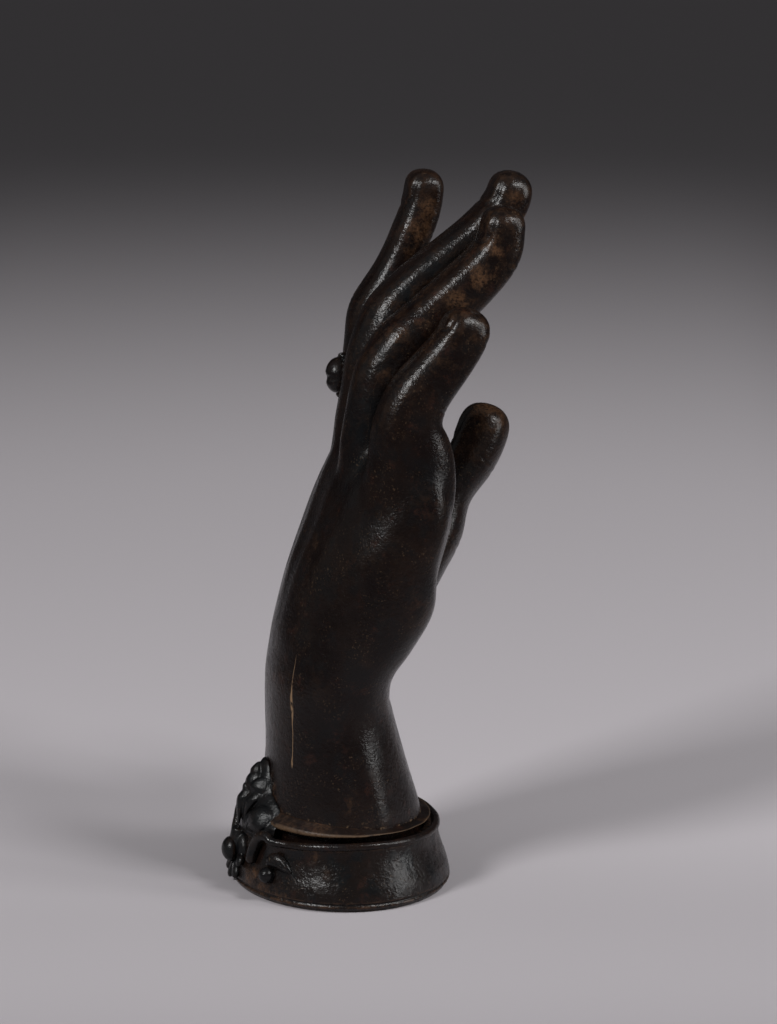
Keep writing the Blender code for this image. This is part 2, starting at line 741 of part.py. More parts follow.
def boss_base():
    """Where the flat under the ball head lies, measured from the middle of the cuff."""
    return cuff_half(BOSS_HEIGHT) + HUB_PROUD + GAP


def build_rivet(parts):
    tail_end = cuff_half(BOSS_HEIGHT + RIVET_TAIL_RADIUS) - CUFF_WALL - GAP
    base = boss_base()
    dome = [(BOSS_RADIUS * math.sin(a), base + BOSS_RADIUS * math.cos(a))
            for a in np.linspace(0, math.pi / 2, 7)]
    profile = dome + [
        (RIVET_SHANK_RADIUS, base), (RIVET_SHANK_RADIUS, tail_end),
        (RIVET_TAIL_RADIUS, tail_end),
        (RIVET_TAIL_END_RADIUS, tail_end - RIVET_TAIL_THICKNESS),
        (0.0, tail_end - RIVET_TAIL_THICKNESS),
    ]
    rivet = turned("boss_rivet", profile, parts, steps=24, oval=1)
    towards_back(rivet)
    give_material(rivet, "rivet_bronze")
    return rivet


def cuff_place(turn, height, proud):
    """Place and frame on the cuff: the frame's X runs forward along it and Z points out."""
    half = cuff_half(height) + proud
    angle = math.radians(turn)
    place = Vector((-half * math.cos(angle), half * OVAL * math.sin(angle), height))
    along = Vector((half * math.sin(angle), half * OVAL * math.cos(angle), 0)).normalized()
    up = Vector((0, 0, 1))
    out = along.cross(up)
    return place, Matrix((along, up, -out)).transposed()


def blob_object(name, centre, radii, turn, collection):
    mesh = bmesh.new()
    add_blob(mesh, centre, radii, turn)
    bmesh.ops.recalc_face_normals(mesh, faces=mesh.faces)
    data = bpy.data.meshes.new(name)
    mesh.to_mesh(data)
    mesh.free()
    return add_object(name, data, collection)


def build_beads_and_leaves(parts, cutters):
    for side, sign in (("thumb_side", 1), ("little_side", -1)):
        place, turn = cuff_place(sign * BEAD_TURN, BEAD_HEIGHT, BEAD_RADIUS / 2)
        bead = blob_object("bead_" + side, place, [BEAD_RADIUS] * 3, turn, parts)
        give_material(bead, "bead_bronze")
        place, turn = cuff_place(sign * LEAF_TURN, LEAF_HEIGHT, 0)
        radii = (LEAF_LENGTH / 2, LEAF_WIDTH / 2, LEAF_PROUD)
        leaf = blob_object("leaf_" + side, place, radii, turn, parts)
        give_material(leaf, "leaf_bronze")
        for piece in (bead, leaf):
            cut(piece, cutters.objects["cuff_clearance"])
            shade(piece)


# The finger ring

def ring_frame():
    """Middle of the index finger at the ring, its half sizes and its directions."""
    centre, thick, wide, length, tangent, side, front = finger_rows(INDEX_FINGER, FINGER_ACROSS)
    at = [float(np.interp(RING_PLACE, length, values)) for values in (*centre.T, thick, wide)]
    row = int(np.argmin(np.abs(length - RING_PLACE)))
    along = Vector(tangent[row])
    outward = -Vector(front[row])
    return Vector(at[:3]), at[3], at[4], along, outward


def set_frame(obj, place, x_axis, z_axis, oval):
    y_axis = z_axis.cross(x_axis)
    turn = Matrix((x_axis, y_axis, z_axis)).transposed()
    obj.matrix_world = (Matrix.Translation(place * MM) @ turn.to_4x4()
                        @ Matrix.Diagonal((1, oval, 1, 1)))


def ring_band(name, collection, grow=0.0):
    centre, thick, wide, along, outward = ring_frame()
    inner = thick - RING_SINK
    outer = inner + RING_BAND_THICKNESS + grow
    half_width = RING_BAND_WIDTH / 2 + grow
    edge = RING_BAND_EDGE
    profile = [
        (inner - grow, half_width), (outer - edge, half_width), (outer, half_width - edge),
        (outer, edge - half_width), (outer - edge, -half_width), (inner - grow, -half_width),
    ]
    band = turned(name, profile, collection, closed=True, steps=RING_STEPS, oval=1)
    set_frame(band, centre, outward, along, (wide - RING_SINK) / inner)
    return band


def ring_top(name, profile, collection):
    """A turned oval that lies on the ring, with its length along the finger."""
    centre, thick, wide, along, outward = ring_frame()
    top = turned(name, profile, collection, steps=RING_STEPS, oval=1)
    foot = thick - RING_SINK + COLLET_RISE
    set_frame(top, centre + outward * foot, along, outward, COLLET_OVAL)
    return top


def collet_profile(grow):
    half = COLLET_HALF_LENGTH + grow
    top = COLLET_HEIGHT + grow
    return [(0.0, top), (half - COLLET_EDGE, top), (half, top - COLLET_EDGE), (half, -grow),
            (0.0, -grow)]


def stone_profile(grow):
    base = COLLET_FLOOR + GAP
    half = STONE_HALF_LENGTH + grow
    dome = [(half * math.sin(a), base + (STONE_HEIGHT + grow) * math.cos(a) ** STONE_FULLNESS)
            for a in np.linspace(0, math.pi / 2, 7)[:-1]]
    return dome + [(half, base + STONE_EDGE), (half, base - grow), (0.0, base - grow)]


def build_ring(parts, cutters):
    band = ring_band("finger_ring", parts)
    cut(band, cutters.objects["collet_body"], "UNION")
    cut(band, cutters.objects["stone_clearance"])
    give_material(band, "ring_bronze")
    stone = ring_top("ring_stone", stone_profile(0), parts)
    give_material(stone, "stone_bronze")


# Cutters, which the build leaves out

def build_cutters(cutters):
    clearance = [(0.0, COLLAR_TOP + GAP), (COLLAR_OUTER_HALF + GAP, COLLAR_TOP + GAP),
                 (COLLAR_OUTER_HALF + GAP, CUFF_HEIGHT + GAP)]
    clearance += [(half + GAP, height + GAP) for half, height in cuff_outline()]
    clearance += [(0.0, GAP)]
    turned("cuff_clearance", clearance, cutters)
    palm("wrist_clearance", PALM_SECTIONS[:4], cutters, grow=GAP)
    as_mesh(wire("wire_clearance", rim_route(), RIM_WIRE_RADIUS + GAP, cutters), cutters)
    seat_base = boss_base() - GAP
    outer = boss_base() + BOSS_RADIUS + CUT_PAST
    inner = cuff_half(BOSS_HEIGHT) - CUFF_WALL - CUT_PAST
    hole = RIVET_SHANK_RADIUS + GAP
    towards_back(turned("rivet_hole", [(0.0, outer), (hole, outer), (hole, inner), (0.0, inner)],
                        cutters, steps=24, oval=1))
    seat = BOSS_RADIUS + GAP
    towards_back(turned("boss_seat", [(0.0, outer), (seat, outer), (seat, seat_base),
                                      (0.0, seat_base)], cutters, steps=32, oval=1))
    for side, y in screw_places():
        hole = turned("screw_hole_" + side, screw_profile(GAP), cutters, steps=24, oval=1)
        hole.location.y = y * MM
        slot = box("screw_slot_" + side, (3 * SCREW_HEAD_RADIUS, SLOT_WIDTH, 2 * SLOT_DEPTH),
                   cutters)
        slot.location = (0, y * MM, SCREW_RECESS * MM)
    box("below_seat", (4 * WRIST_HALF, 4 * WRIST_HALF, 2 * HAND_SEAT), cutters)
    ring_band("band_clearance", cutters, grow=GAP)
    ring_top("collet_body", collet_profile(0), cutters)
    ring_top("collet_clearance", collet_profile(GAP), cutters)
    ring_top("stone_clearance", stone_profile(GAP), cutters)
    for obj in cutters.objects:
        make_cutter(obj)


def box(name, size, collection):
    mesh = bmesh.new()
    bmesh.ops.create_cube(mesh, size=1, matrix=Matrix.Diagonal((*(v * MM for v in size), 1)))
    data = bpy.data.meshes.new(name)
    mesh.to_mesh(data)
    mesh.free()
    return add_object(name, data, collection)


def main():
    clear_scene()
    parts = new_collection("hand_paperweight")
    cutters = new_collection("cutters")
    build_cutters(cutters)
    build_hand(parts, cutters)
    build_collar(parts)
    build_cuff(parts, cutters)
    build_rim_wire(parts)
    build_base_plate(parts, cutters)
    build_screws(parts, cutters)
    build_palmette(parts, cutters)
    build_rivet(parts)
    build_beads_and_leaves(parts, cutters)
    build_ring(parts, cutters)


main()
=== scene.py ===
"""Bronze hand paperweight: fine surfaces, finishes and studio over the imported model.

+X is the palm side, -X the back of the hand, +Y the thumb side, +Z up. Sizes are
worked out in millimetres, and MM turns them into the metres of the frame.
"""
import math

import bmesh
import bpy
import numpy as np
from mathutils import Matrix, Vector


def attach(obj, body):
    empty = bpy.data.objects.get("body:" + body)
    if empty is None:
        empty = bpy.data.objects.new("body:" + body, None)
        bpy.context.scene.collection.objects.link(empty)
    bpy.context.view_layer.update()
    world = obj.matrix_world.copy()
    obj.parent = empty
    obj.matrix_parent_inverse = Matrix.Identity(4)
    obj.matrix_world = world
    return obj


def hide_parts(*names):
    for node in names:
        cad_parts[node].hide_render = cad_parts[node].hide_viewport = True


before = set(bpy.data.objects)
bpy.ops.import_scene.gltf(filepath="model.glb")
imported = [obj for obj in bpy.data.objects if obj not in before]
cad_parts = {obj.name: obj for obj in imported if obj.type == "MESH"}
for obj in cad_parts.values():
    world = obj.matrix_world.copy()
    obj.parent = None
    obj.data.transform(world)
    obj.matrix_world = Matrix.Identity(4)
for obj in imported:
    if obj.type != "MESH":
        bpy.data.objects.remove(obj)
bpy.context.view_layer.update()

bl_info = {
    "name": "Bronze hand paperweight",
    "version": (1, 0, 0),
    "blender": (4, 5, 0),
    "location": "View3D > Sidebar > Paperweight",
    "description": "Builds the surfaces, finishes and studio of a bronze hand paperweight",
    "category": "Object",
}

MM = 0.001
BODY = "root"

# Wrist and palm sections, from the seat in the cuff to the roots of the fingers:
# (x, y, z of the middle, lean in degrees, half thickness, half breadth,
#  arch across the palm, squareness)
PALM_SECTIONS = (
    (0, 0, 4.2, 0, 13.2, 15.84, 0, 2),
    (0, 0, 11, 0, 13.2, 15.84, 0, 2),
    (-0.7, 0, 20, 0, 11.4, 15, 0, 2.1),
    (-1.7, 0.2, 28.2, 2, 10.3, 14.4, 0.2, 2.2),
    (-2.1, 0.4, 33.6, 6, 9.7, 15.2, 0.5, 2.3),
    (-1.3, 0.5, 37.6, 8, 9.8, 16.4, 0.9, 2.3),
    (0.2, 0.5, 41.6, 10, 10.6, 17.7, 1.6, 2.3),
    (2.9, 0.5, 49.5, 12, 10.9, 19.6, 2.8, 2.5),
    (4.2, 0.5, 57.4, 14, 9.1, 20.5, 3.2, 2.8),
    (6.3, 0.3, 65.3, 14, 8.3, 20.3, 3.8, 2.8),
    (7.4, 0.1, 70.3, 14, 6.9, 19.5, 3.4, 2.6),
    (8.1, 0, 74, 14, 4.8, 18.2, 2.6, 2.2),
    (8, 0, 76.6, 14, 2.4, 15.6, 1.6, 2),
)

# Fingers from inside the palm to the tip: (x, y, z, half thickness, half width)
LITTLE_FINGER = (
    (6.8, -13, 54.6, 6.6, 5.2),
    (8.4, -13.5, 64.5, 7.5, 5),
    (9, -14.1, 72, 7, 4.8),
    (8.3, -14.4, 78.5, 5.6, 4.6),
    (10.2, -14.5, 83.5, 4.8, 4.5),
    (15, -14.5, 89.5, 4.2, 4),
    (17.5, -14.5, 93.5, 3.8, 3.9),
    (17.8, -14.5, 97.2, 3.4, 3.6),
)
RING_FINGER = (
    (3.4, -5, 57.1, 6, 5.2),
    (4.9, -4.8, 68.9, 5.8, 5.1),
    (5.2, -4.8, 78.5, 5, 4.9),
    (6.4, -4.8, 85, 4.6, 4.9),
    (9.5, -4.8, 89.6, 4.5, 4.9),
    (13.7, -4.8, 93.5, 4.2, 4.5),
    (19.5, -4.8, 98.3, 4.3, 4.4),
    (24.5, -4.8, 103.5, 3.8, 4.2),
    (25.9, -4.8, 108, 3.4, 4),
    (25.8, -4.8, 111.7, 3.1, 3.8),
)
MIDDLE_FINGER = (
    (4, 4.4, 57.6, 6, 5.2),
    (5.7, 4.6, 69.5, 5.6, 5.1),
    (6.2, 4.7, 79.4, 4.9, 4.9),
    (7.4, 4.9, 86.8, 4.7, 4.9),
    (9.9, 5, 92.2, 4.7, 4.9),
    (14, 5, 96.8, 4.3, 4.5),
    (20.1, 5, 101.6, 4.2, 4.4),
    (25.6, 4.9, 106.3, 3.8, 4.2),
    (28.9, 4.8, 110.9, 3.5, 4),
    (29.55, 4.8, 115.5, 3.2, 3.8),
)
INDEX_FINGER = (
    (4.8, 12.8, 58.1, 6, 5.2),
    (6.7, 14, 69.1, 4.9, 4.9),
    (7.6, 15.2, 78.1, 4.2, 4.5),
    (8.3, 16.1, 85.5, 4.1, 4.5),
    (9.4, 16.6, 90.9, 4, 4.5),
    (12.9, 17, 97.9, 3.3, 4),
    (15.9, 17.3, 103.9, 3.2, 3.9),
    (17.6, 17.5, 108.9, 3.1, 3.7),
    (18.2, 17.6, 114.1, 2.9, 3.5),
)
THUMB = (
    (-0.5, 4, 26, 4.5, 5),
    (2.2, 8.6, 34.6, 6.2, 6.8),
    (8, 13, 42.4, 7.4, 7.6),
    (14, 16.8, 48.6, 7.4, 6.9),
    (19.3, 18.8, 53.5, 5.7, 5.5),
    (22.7, 19.4, 59, 3.7, 4.6),
    (26.6, 20.2, 64.4, 4, 4.5),
    (28.9, 21.1, 69.2, 4.2, 4.3),
    (30.2, 21.7, 73.4, 3.6, 3.9),
)
# Web of skin between the thumb and the palm, from inside the palm to its edge
WEB = (
    (-1, 6, 34, 4.5, 6),
    (3, 10.4, 43, 4.6, 7),
    (6.8, 13.6, 50.6, 3.9, 7.6),
    (9.8, 15.6, 56.2, 3, 7.4),
    (11.6, 16.6, 59.6, 2.2, 6.4),
)
FINGER_ACROSS = (0, 1, 0)
THUMB_ACROSS = (0.45, 0.75, -0.2)
WEB_ACROSS = (0.5, 0.2, -0.84)

# Fingers with the stations of their two joints, and the size of the nail:
# (stations, across, middle joint, end joint, nail half length, nail half width)
DIGITS = (
    (LITTLE_FINGER, FINGER_ACROSS, 4, 6, 2.5, 2.4),
    (RING_FINGER, FINGER_ACROSS, 4, 7, 3.3, 2.75),
    (MIDDLE_FINGER, FINGER_ACROSS, 4, 7, 3.5, 2.8),
    (INDEX_FINGER, FINGER_ACROSS, 4, 6, 3.2, 2.5),
    (THUMB, THUMB_ACROSS, 4, 6, 3.6, 3),
)
FINGER_SQUARENESS = (2.3, 2.9)
TIP_SQUARENESS = 2.35
FINGER_STEPS = 12

# Lines of the palm as (y, z) on its hollow side: round the ball of the thumb,
# across the middle, under the fingers, and across the wrist: (path, depth, width)
PALM_LINES = (
    (((14.5, 61.5), (9, 57), (4.5, 50), (2, 43), (2, 36.5)), 0.26, 0.75),
    (((15, 62.5), (7, 59.5), (-2, 55.5), (-9, 51.5)), 0.17, 0.65),
    (((-15.5, 63.5), (-11, 64.5), (-3, 67), (5, 71)), 0.19, 0.65),
    (((-8.5, 31.6), (-3, 30.6), (4, 30.8), (10, 32.2)), 0.1, 0.6),
)

# Soft ridge down the near side of the wrist as (x, z), with its height and width
WRIST_RIDGE = (((-7.5, 39), (-5.1, 34.8), (-2.2, 29.5), (-0.1, 24.4), (1.8, 20.1), (3.7, 13.5)),
               0.5, 2.9)

# Places rubbed to ochre, and places painted blue black on the hand, partly patina that
# stayed dark and partly painted shade in the valleys between the fingers: (x, y, z, radius, share)
OCHRE_PLACES = (
    (17.7, 13.9, 108.3, 2.2, 0.9), (16.2, 13.6, 104.6, 2.4, 1), (14.6, 13.5, 101.4, 1.8, 0.5),
    (28.8, 1.2, 111.6, 2, 0.8), (31, 2.6, 108.6, 2.2, 0.7), (24.1, 2.1, 108, 1.6, 0.5),
    (23.6, -8.4, 105.4, 2.6, 0.9), (21.2, -9.1, 100.8, 2.6, 1), (17.6, -9.1, 97.4, 2.6, 0.9),
    (12.5, -9.2, 93.6, 2.4, 0.5), (8.6, -8.8, 91.6, 2.4, 0.6), (5.8, -9.4, 86.4, 1.9, 0.5),
    (6.7, 1.9, 93.8, 1.6, 0.5), (29.6, 20, 72, 4.2, 0.9), (26, 18, 67, 3, 0.5),
    (-0.5, -4.3, 70.7, 1.8, 0.5), (14, -17.2, 74, 1.6, 0.3), (-4.6, -5.2, 57.6, 1.8, 0.35),
    (-3.4, -14.6, 33.8, 1.5, 0.4), (-0.9, -15.3, 16, 2.2, 0.55),
    (-12, -3.6, 18.5, 0.9, 0.9), (-11.9, -4.7, 17, 0.9, 0.9), (-11.7, -5.9, 15.6, 0.9, 0.9),
    (-11, -8, 14.2, 1, 0.9), (-10.1, -9.9, 12.6, 1, 0.9), (24, 9.4, 103, 3, 0.5),
    (27, 9, 98, 3, 0.3), (12, 21, 97, 2.5, 0.4), (-2, 16, 60, 2.4, 0.3),
)
# Blue black patina with painted shade: most of these lie in the valleys between the fingers
BLACK_PATINA_AND_SHADE_PLACES = (
    (3.4, -8.8, 81, 3.2, 0.9), (2.2, -8.6, 76.5, 3.2, 1), (1.8, -9.6, 71.5, 2.8, 0.9),
    (1, -8, 67.5, 2.2, 0.6), (11.2, -18.5, 70.2, 3.2, 0.6), (15.3, 1.5, 101.2, 2.6, 0.9),
    (18.7, 2, 104.3, 2.4, 0.8), (11.2, 1.2, 97.3, 2.6, 0.9), (7, 0.6, 93, 2.6, 0.8),
    (6.2, -8.9, 89.6, 2.2, 0.8), (4.1, 1, 88, 2.6, 0.8), (3, 11, 86, 3, 0.7),
    (9, 11.8, 92, 3, 0.6), (8, -9.6, 84, 3.5, 0.5), (13, 10.4, 70, 4, 0.4),
)

# Streak where wax ran down the wrist: its place across and how far it wanders, and
# (height, half width)
STREAK_PLACE = -9.18
STREAK_WANDER = 0.35
STREAK_WIDTHS = ((21.4, 0), (21.8, 0.28), (22.6, 0.3), (23.3, 0.11), (27.4, 0.09), (29.6, 0.16),
                 (30.8, 0.44), (33, 0.46), (34.4, 0.22), (36, 0.1), (39.6, 0.06), (40.4, 0))

# Half axis of the cuff from its rim to its foot: (share of height, share of flare)
CUFF_FLARE = ((1, 0), (0.8, 0.1), (0.55, 0.42), (0.3, 0.82), (0.15, 0.97))
# The mouth of the cuff dips above its shelf, fully from DIP_FROM up: the depth at the
# sides and at the back. On the palm side it is the cuff's own setting.
SHELF_TOP = 3.9
DIP_FROM = 9.2
SIDE_DIP = 0.45
BACK_DIP = 1.38
# Gap between pieces that touch
GAP = 0.3
FOOT_CHAMFER_HEIGHT = 0.8
FOOT_CHAMFER_DEPTH = 0.35

# Groove, bead and round edge at the foot of the cuff: (way in from the foot, height)
FOOT_SHAPE = ((0.16, 1.42), (0.22, 1.28), (0.19, 1.16), (0.05, 1.04), (0, 0.88), (0.03, 0.7),
              (0.16, 0.54), (0.34, 0.36), (0.44, 0.14), (0.56, 0.03), (0.7, 0))

# Section of the collar from its inner top edge round to its inner bottom edge: (share
# of width, share of height). It rises towards the back of the hand by COLLAR_SLOPE.
COLLAR_SHAPE = ((-0.5, 1), (-0.32, 0.99), (-0.2, 0.94), (-0.05, 0.84), (0.15, 0.72), (0.45, 0.54),
                (0.8, 0.34), (0.95, 0.22), (1, 0.06), (0.96, -0.12), (0.7, -0.2), (-0.5, -0.2))
COLLAR_LIFT = 0.75
COLLAR_SLOPE = (0.16, 1.25)

# Ends of the rim wire, which bend down beside the boss: (y, height, proud)
WIRE_END = ((11.2, 9.75, 0.05), (10.2, 10.2, 0.1), (9.2, 10.2, 0.15), (8.3, 9.6, 0.2),
            (7.6, 8.6, 0.2), (7.15, 7.4, 0.15), (6.95, 6.2, 0.05), (6.85, 5, -0.15))
WIRE_END_RADIUS = 0.92

# Places on the cuff where dust has dried or the patina is thin, and blue black ones
CUFF_OCHRE = (
    (-8.2, -17.7, 8.6, 1.5, 0.8), (-15.2, -11.3, 1.2, 3, 0.7), (-16.9, -7, 2.2, 2.4, 0.6),
    (-12.5, -15, 1, 2.5, 0.5), (-16, -8.6, 3.9, 1.3, 0.9), (-16.2, -8.4, 5.4, 1.1, 0.8),
    (-5.5, -18.5, 6.2, 1.2, 0.4), (3, -18.8, 2, 1.6, 0.4),
)
CUFF_BLACK = (
    (-13.2, -14.6, 1.9, 1.6, 0.9), (5.5, -19.3, 4.6, 3.4, 0.6), (12.5, -14.2, 4.6, 3.4, 0.7),
    (-12.6, -14, 7, 2.2, 0.6), (-3, -19.4, 4, 2, 0.4), (15.5, -8.5, 3, 2.5, 0.6),
)

# Palmette. Its outline from behind is an ogive, and it stands out from the cuff and
# the wrist: (height, half axis that carries it, half axis of its face, half breadth)
CREST_FORM = (
    (0, 18, 19, 9.4),
    (4, 17.5, 18.6, 9.4),
    (7, 16.6, 17.9, 9.4),
    (8.8, 15.6, 17.7, 9.4),
    (9.7, 14.9, 17.6, 9.4),
    (11.2, 14.6, 17.5, 9.4),
    (12.6, 13.2, 17.3, 9),
    (14.4, 12.8, 16.8, 6.9),
    (15.8, 12.6, 16.3, 4.6),
    (17.2, 12.4, 15.7, 3.5),
    (18.6, 12.2, 15.1, 2.8),
    (19.8, 12.1, 14.4, 2.2),
    (20.5, 12, 13.6, 1.4),
)
CREST_ROOT = 8.0
CREST_BODY_SHARE = 0.5

# Petals, the upper ones round the palmette's root and the lower ones round the
# rivet: (turn from upright in degrees, start, length, width, thickness, lift)
UPPER_PETALS = (
    (0, 1, 11, 3.8, 2.1, 0),
    (0, 0.4, 8.2, 2.7, 1.6, 0.35),
    (17, 1.8, 9, 3.6, 2.1, 0),
    (56, 1.6, 7.4, 5.4, 2.5, 0.1),
)
LOWER_PETALS = (
    (180, 0.9, 3.9, 2.4, 1.3, 0),
    (142, 1, 4.2, 2.4, 1.3, 0),
    (106, 1.4, 3.4, 2.2, 1.2, 0),
)
HUB_PROUD = 0.7
HUB_RADIUS = 3.2

# Finger ring
RING_PLACE = 22.6
RING_SINK = 0.5
COLLET_RISE = 0.12
STONE_FULLNESS = 0.8
RING_OVAL = 0.78

# Camera that the photograph was fitted with, and where it saw the model's origin
PHOTO_SIZE = (777, 1024)
ORIGIN_PIXEL = (340, 873.5)
MM_PER_PIXEL = 0.165
CAMERA_DISTANCE = 850.0
CAMERA_AZIMUTH = -12.0
CAMERA_ELEVATION = 13.6
LAMP_DISTANCE = 0.9


def linear(colour):
    """Linear RGB of an sRGB hex colour."""
    parts = np.array([int(colour[i:i + 2], 16) for i in (1, 3, 5)]) / 255
    low = parts / 12.92
    high = ((parts + 0.055) / 1.055) ** 2.4
    return tuple(float(v) for v in np.where(parts <= 0.04045, low, high))


# Settings that a user would change

def length(name, description, default, **limits):
    """A length, given in millimetres."""
    return bpy.props.FloatProperty(name=name, description=description, default=default * MM,
                                   unit="LENGTH", **limits)


def number(name, description, default):
    return bpy.props.FloatProperty(name=name, description=description, default=default, min=0.0)


def colour(name, description, default):
    """A colour, given as sRGB hex."""
    return bpy.props.FloatVectorProperty(name=name, description=description, subtype="COLOR",
                                         default=linear(default))


class HandSettings(bpy.types.PropertyGroup):
    grid: length("Grid", "Edge length of the skin's grid before it is thinned", 0.26,
                 min=0.1 * MM)
    triangles: bpy.props.IntProperty(
        name="Triangles", description="How many triangles the finished skin has",
        default=192000, min=20000)
    nail_relief: length("Nail relief", "Height of a nail over the groove round it", 0.42)
    knuckle_swell: length("Knuckle swell", "How far a finger joint swells on its back", 0.16)
    crease_depth: length("Crease depth", "Depth of the creases inside a finger joint", 0.09)


class CuffSettings(bpy.types.PropertyGroup):
    height: length("Height", "Height of the cuff at its back", 10.6)
    foot_half: length("Foot", "Half thickness of the oval foot", 17.9)
    rim_half: length("Rim", "Half thickness of the oval mouth", 16.0)
    wall: length("Wall", "Thickness of the cuff's wall", 2.1)
    oval: number("Oval", "Breadth of the oval over its thickness", 1.2)
    mouth_dip: length("Mouth dip", "How far the mouth is lower on the palm side", 1.3)
    wire_radius: length("Rim wire", "Radius of the rolled wire round the mouth", 0.65)
    collar_width: length("Collar width", "How far the collar stands out from the wrist", 1.2)
    collar_height: length("Collar height", "Height of the collar", 1.4)
    wrist_half: length("Wrist", "Half thickness of the wrist in the cuff", 13.2)


class OrnamentSettings(bpy.types.PropertyGroup):
    boss_height: length("Boss height", "Height of the boss over the foot", 5.5)
    boss_radius: length("Boss", "Radius of the round boss", 2.1)
    petal_curl: length("Petal curl", "How far the tip of a petal turns out", 0.55)
    bead_radius: length("Bead", "Radius of the bead beside the palmette", 1.35)
    leaf_length: length("Leaf length", "Length of the leaf beside the bead", 5.6)
    leaf_width: length("Leaf width", "Width of the leaf", 2.7)


class RingSettings(bpy.types.PropertyGroup):
    band_width: length("Band width", "Width of the ring's band along the finger", 2.0)
    band_thickness: length("Band thickness", "Thickness of the band", 0.8)
    collet_half: length("Collet", "Half length of the oval collet along the finger", 3.8)
    stone_half: length("Stone", "Half length of the domed stone", 3.0)
    beads: bpy.props.IntProperty(
        name="Beads", description="Number of beads round the collet", default=20, min=6)


class PatinaSettings(bpy.types.PropertyGroup):
    brown: colour("Brown", "Main colour of the waxed patina", "#0c0605")
    umber: colour("Umber", "Clouds of purple brown in the patina", "#140c09")
    # Besides the patina, the blue black is painted shade between the fingers and inside the cuff
    black: colour("Blue black", "Patina in the hollows and in dark bands", "#080a0c")
    ochre: colour("Ochre", "Mottling where the patina is rubbed thin", "#523a28")
    red_brown: colour("Red brown", "Warm patches on the wrist and the cuff", "#3a2118")
    dust: colour("Tan dust", "Wax and dust that has dried in joints and pores", "#7e654d")
    roughness: number("Roughness", "Roughness of the waxed surface", 0.22)
    gloss: number("Gloss", "Specular level of the wax, 0.5 for glass", 0.21)
    grain: length("Grain height", "Height of the fine grain of the casting", 0.07)


class StageSettings(bpy.types.PropertyGroup):
    floor: colour("Floor", "Colour of the pale floor", "#ada8ac")
    # Painted shade: floor and backdrop are darkened to this colour away from the object
    backdrop: colour("Backdrop", "Colour of floor and backdrop away from the object", "#464346")
    key: number("Key light", "Watts of the soft light in front on the right", 4.1)
    side: number("Side light", "Watts of the soft light on the left", 6.4)
    panel: number("Panel light", "Watts of the tall panel on the right", 4.1)
    world: number("Surroundings", "Strength of the grey room light", 0.4)


# Mesh helpers

def shell(rings, loop=False):
    """Points and faces of a skin over closed rings, each joined to the next.

    In a loop the last ring is joined to the first. Otherwise a fan of triangles
    round the middle of its ring closes each end.
    """
    rows, around = rings.shape[:2]
    row = np.arange(rows if loop else rows - 1)[:, None]
    here = np.arange(around)[None, :]
    after = (here + 1) % around
    below = (row + 1) % rows
    quads = np.stack([row * around + here, row * around + after,
                      below * around + after, below * around + here], -1).reshape(-1, 4)
    points = rings.reshape(-1, 3)
    if loop:
        return points, quads.tolist()
    middles = np.stack([rings[0].mean(0), rings[-1].mean(0)])
    here, after, last, middle = here[0], after[0], (rows - 1) * around, rows * around
    ends = [np.stack([after, here, np.full(around, middle)], -1),
            np.stack([here + last, after + last, np.full(around, middle + 1)], -1)]
    return np.vstack([points, middles]), quads.tolist() + np.vstack(ends).tolist()


def piece_from(name, shells):
    """One object over all the shells, with every face turned outwards."""
    points, faces, offset = [], [], 0
    for shell_points, shell_faces in shells:
        points.append(shell_points)
        faces += [[corner + offset for corner in face] for face in shell_faces]
        offset += len(shell_points)
    mesh = bpy.data.meshes.new(name)
    mesh.from_pydata((np.vstack(points) * MM).tolist(), [], faces)
    outward = bmesh.new()
    outward.from_mesh(mesh)
    bmesh.ops.recalc_face_normals(outward, faces=outward.faces)
    outward.to_mesh(mesh)
    outward.free()
    piece = bpy.data.objects.new(name, mesh)
    bpy.context.scene.collection.objects.link(piece)
    return piece


def bake_modifiers(piece):
    """Puts what the modifiers make of the piece into its own mesh."""
    graph = bpy.context.evaluated_depsgraph_get()
    mesh = bpy.data.meshes.new_from_object(piece.evaluated_get(graph))
    mesh.name = piece.name
    piece.modifiers.clear()
    piece.vertex_groups.clear()
    piece.data = mesh
    return piece


def one_skin(piece, grid, passes):
    """Fuses the piece's shells into one skin on a grid, and smooths it."""
    remesh = piece.modifiers.new("one_skin", "REMESH")
    remesh.mode = "VOXEL"
    remesh.voxel_size = grid * MM
    soften = piece.modifiers.new("soften", "SMOOTH")
    soften.iterations = passes
    return bake_modifiers(piece)


def thin(piece, triangles):
    """Leaves about this many triangles, most of them where the surface bends."""
    fewer = piece.modifiers.new("fewer_faces", "DECIMATE")
    fewer.ratio = min(1.0, triangles / (2 * len(piece.data.polygons)))
    return bake_modifiers(piece)


def drop_specks(piece):
    """Takes out the loose specks that an edge thinner than the grid breaks into.

    Points that edges join come to share the lowest number among them, and the number
    that most points share is the skin's.
    """
    mesh = piece.data
    ends = np.empty(len(mesh.edges) * 2, np.int32)
    mesh.edges.foreach_get("vertices", ends)
    a, b = ends.reshape(-1, 2).T
    group, before = np.arange(len(mesh.vertices)), None
    while not np.array_equal(group, before):
        before = group.copy()
        lowest = np.minimum(group[a], group[b])
        np.minimum.at(group, a, lowest)
        np.minimum.at(group, b, lowest)
        group = group[group]
    specks = np.flatnonzero(group != np.bincount(group).argmax())
    skin = bmesh.new()
    skin.from_mesh(mesh)
    skin.verts.ensure_lookup_table()
    bmesh.ops.delete(skin, geom=[skin.verts[i] for i in specks], context="VERTS")
    skin.to_mesh(mesh)
    skin.free()


def points_of(mesh):
    """Places of a mesh's points in millimetres, and their normals."""
    places, normals = np.empty((2, len(mesh.vertices) * 3), np.float32)
    mesh.vertices.foreach_get("co", places)
    mesh.vertex_normals.foreach_get("vector", normals)
    return places.reshape(-1, 3).astype(float) / MM, normals.reshape(-1, 3).astype(float)


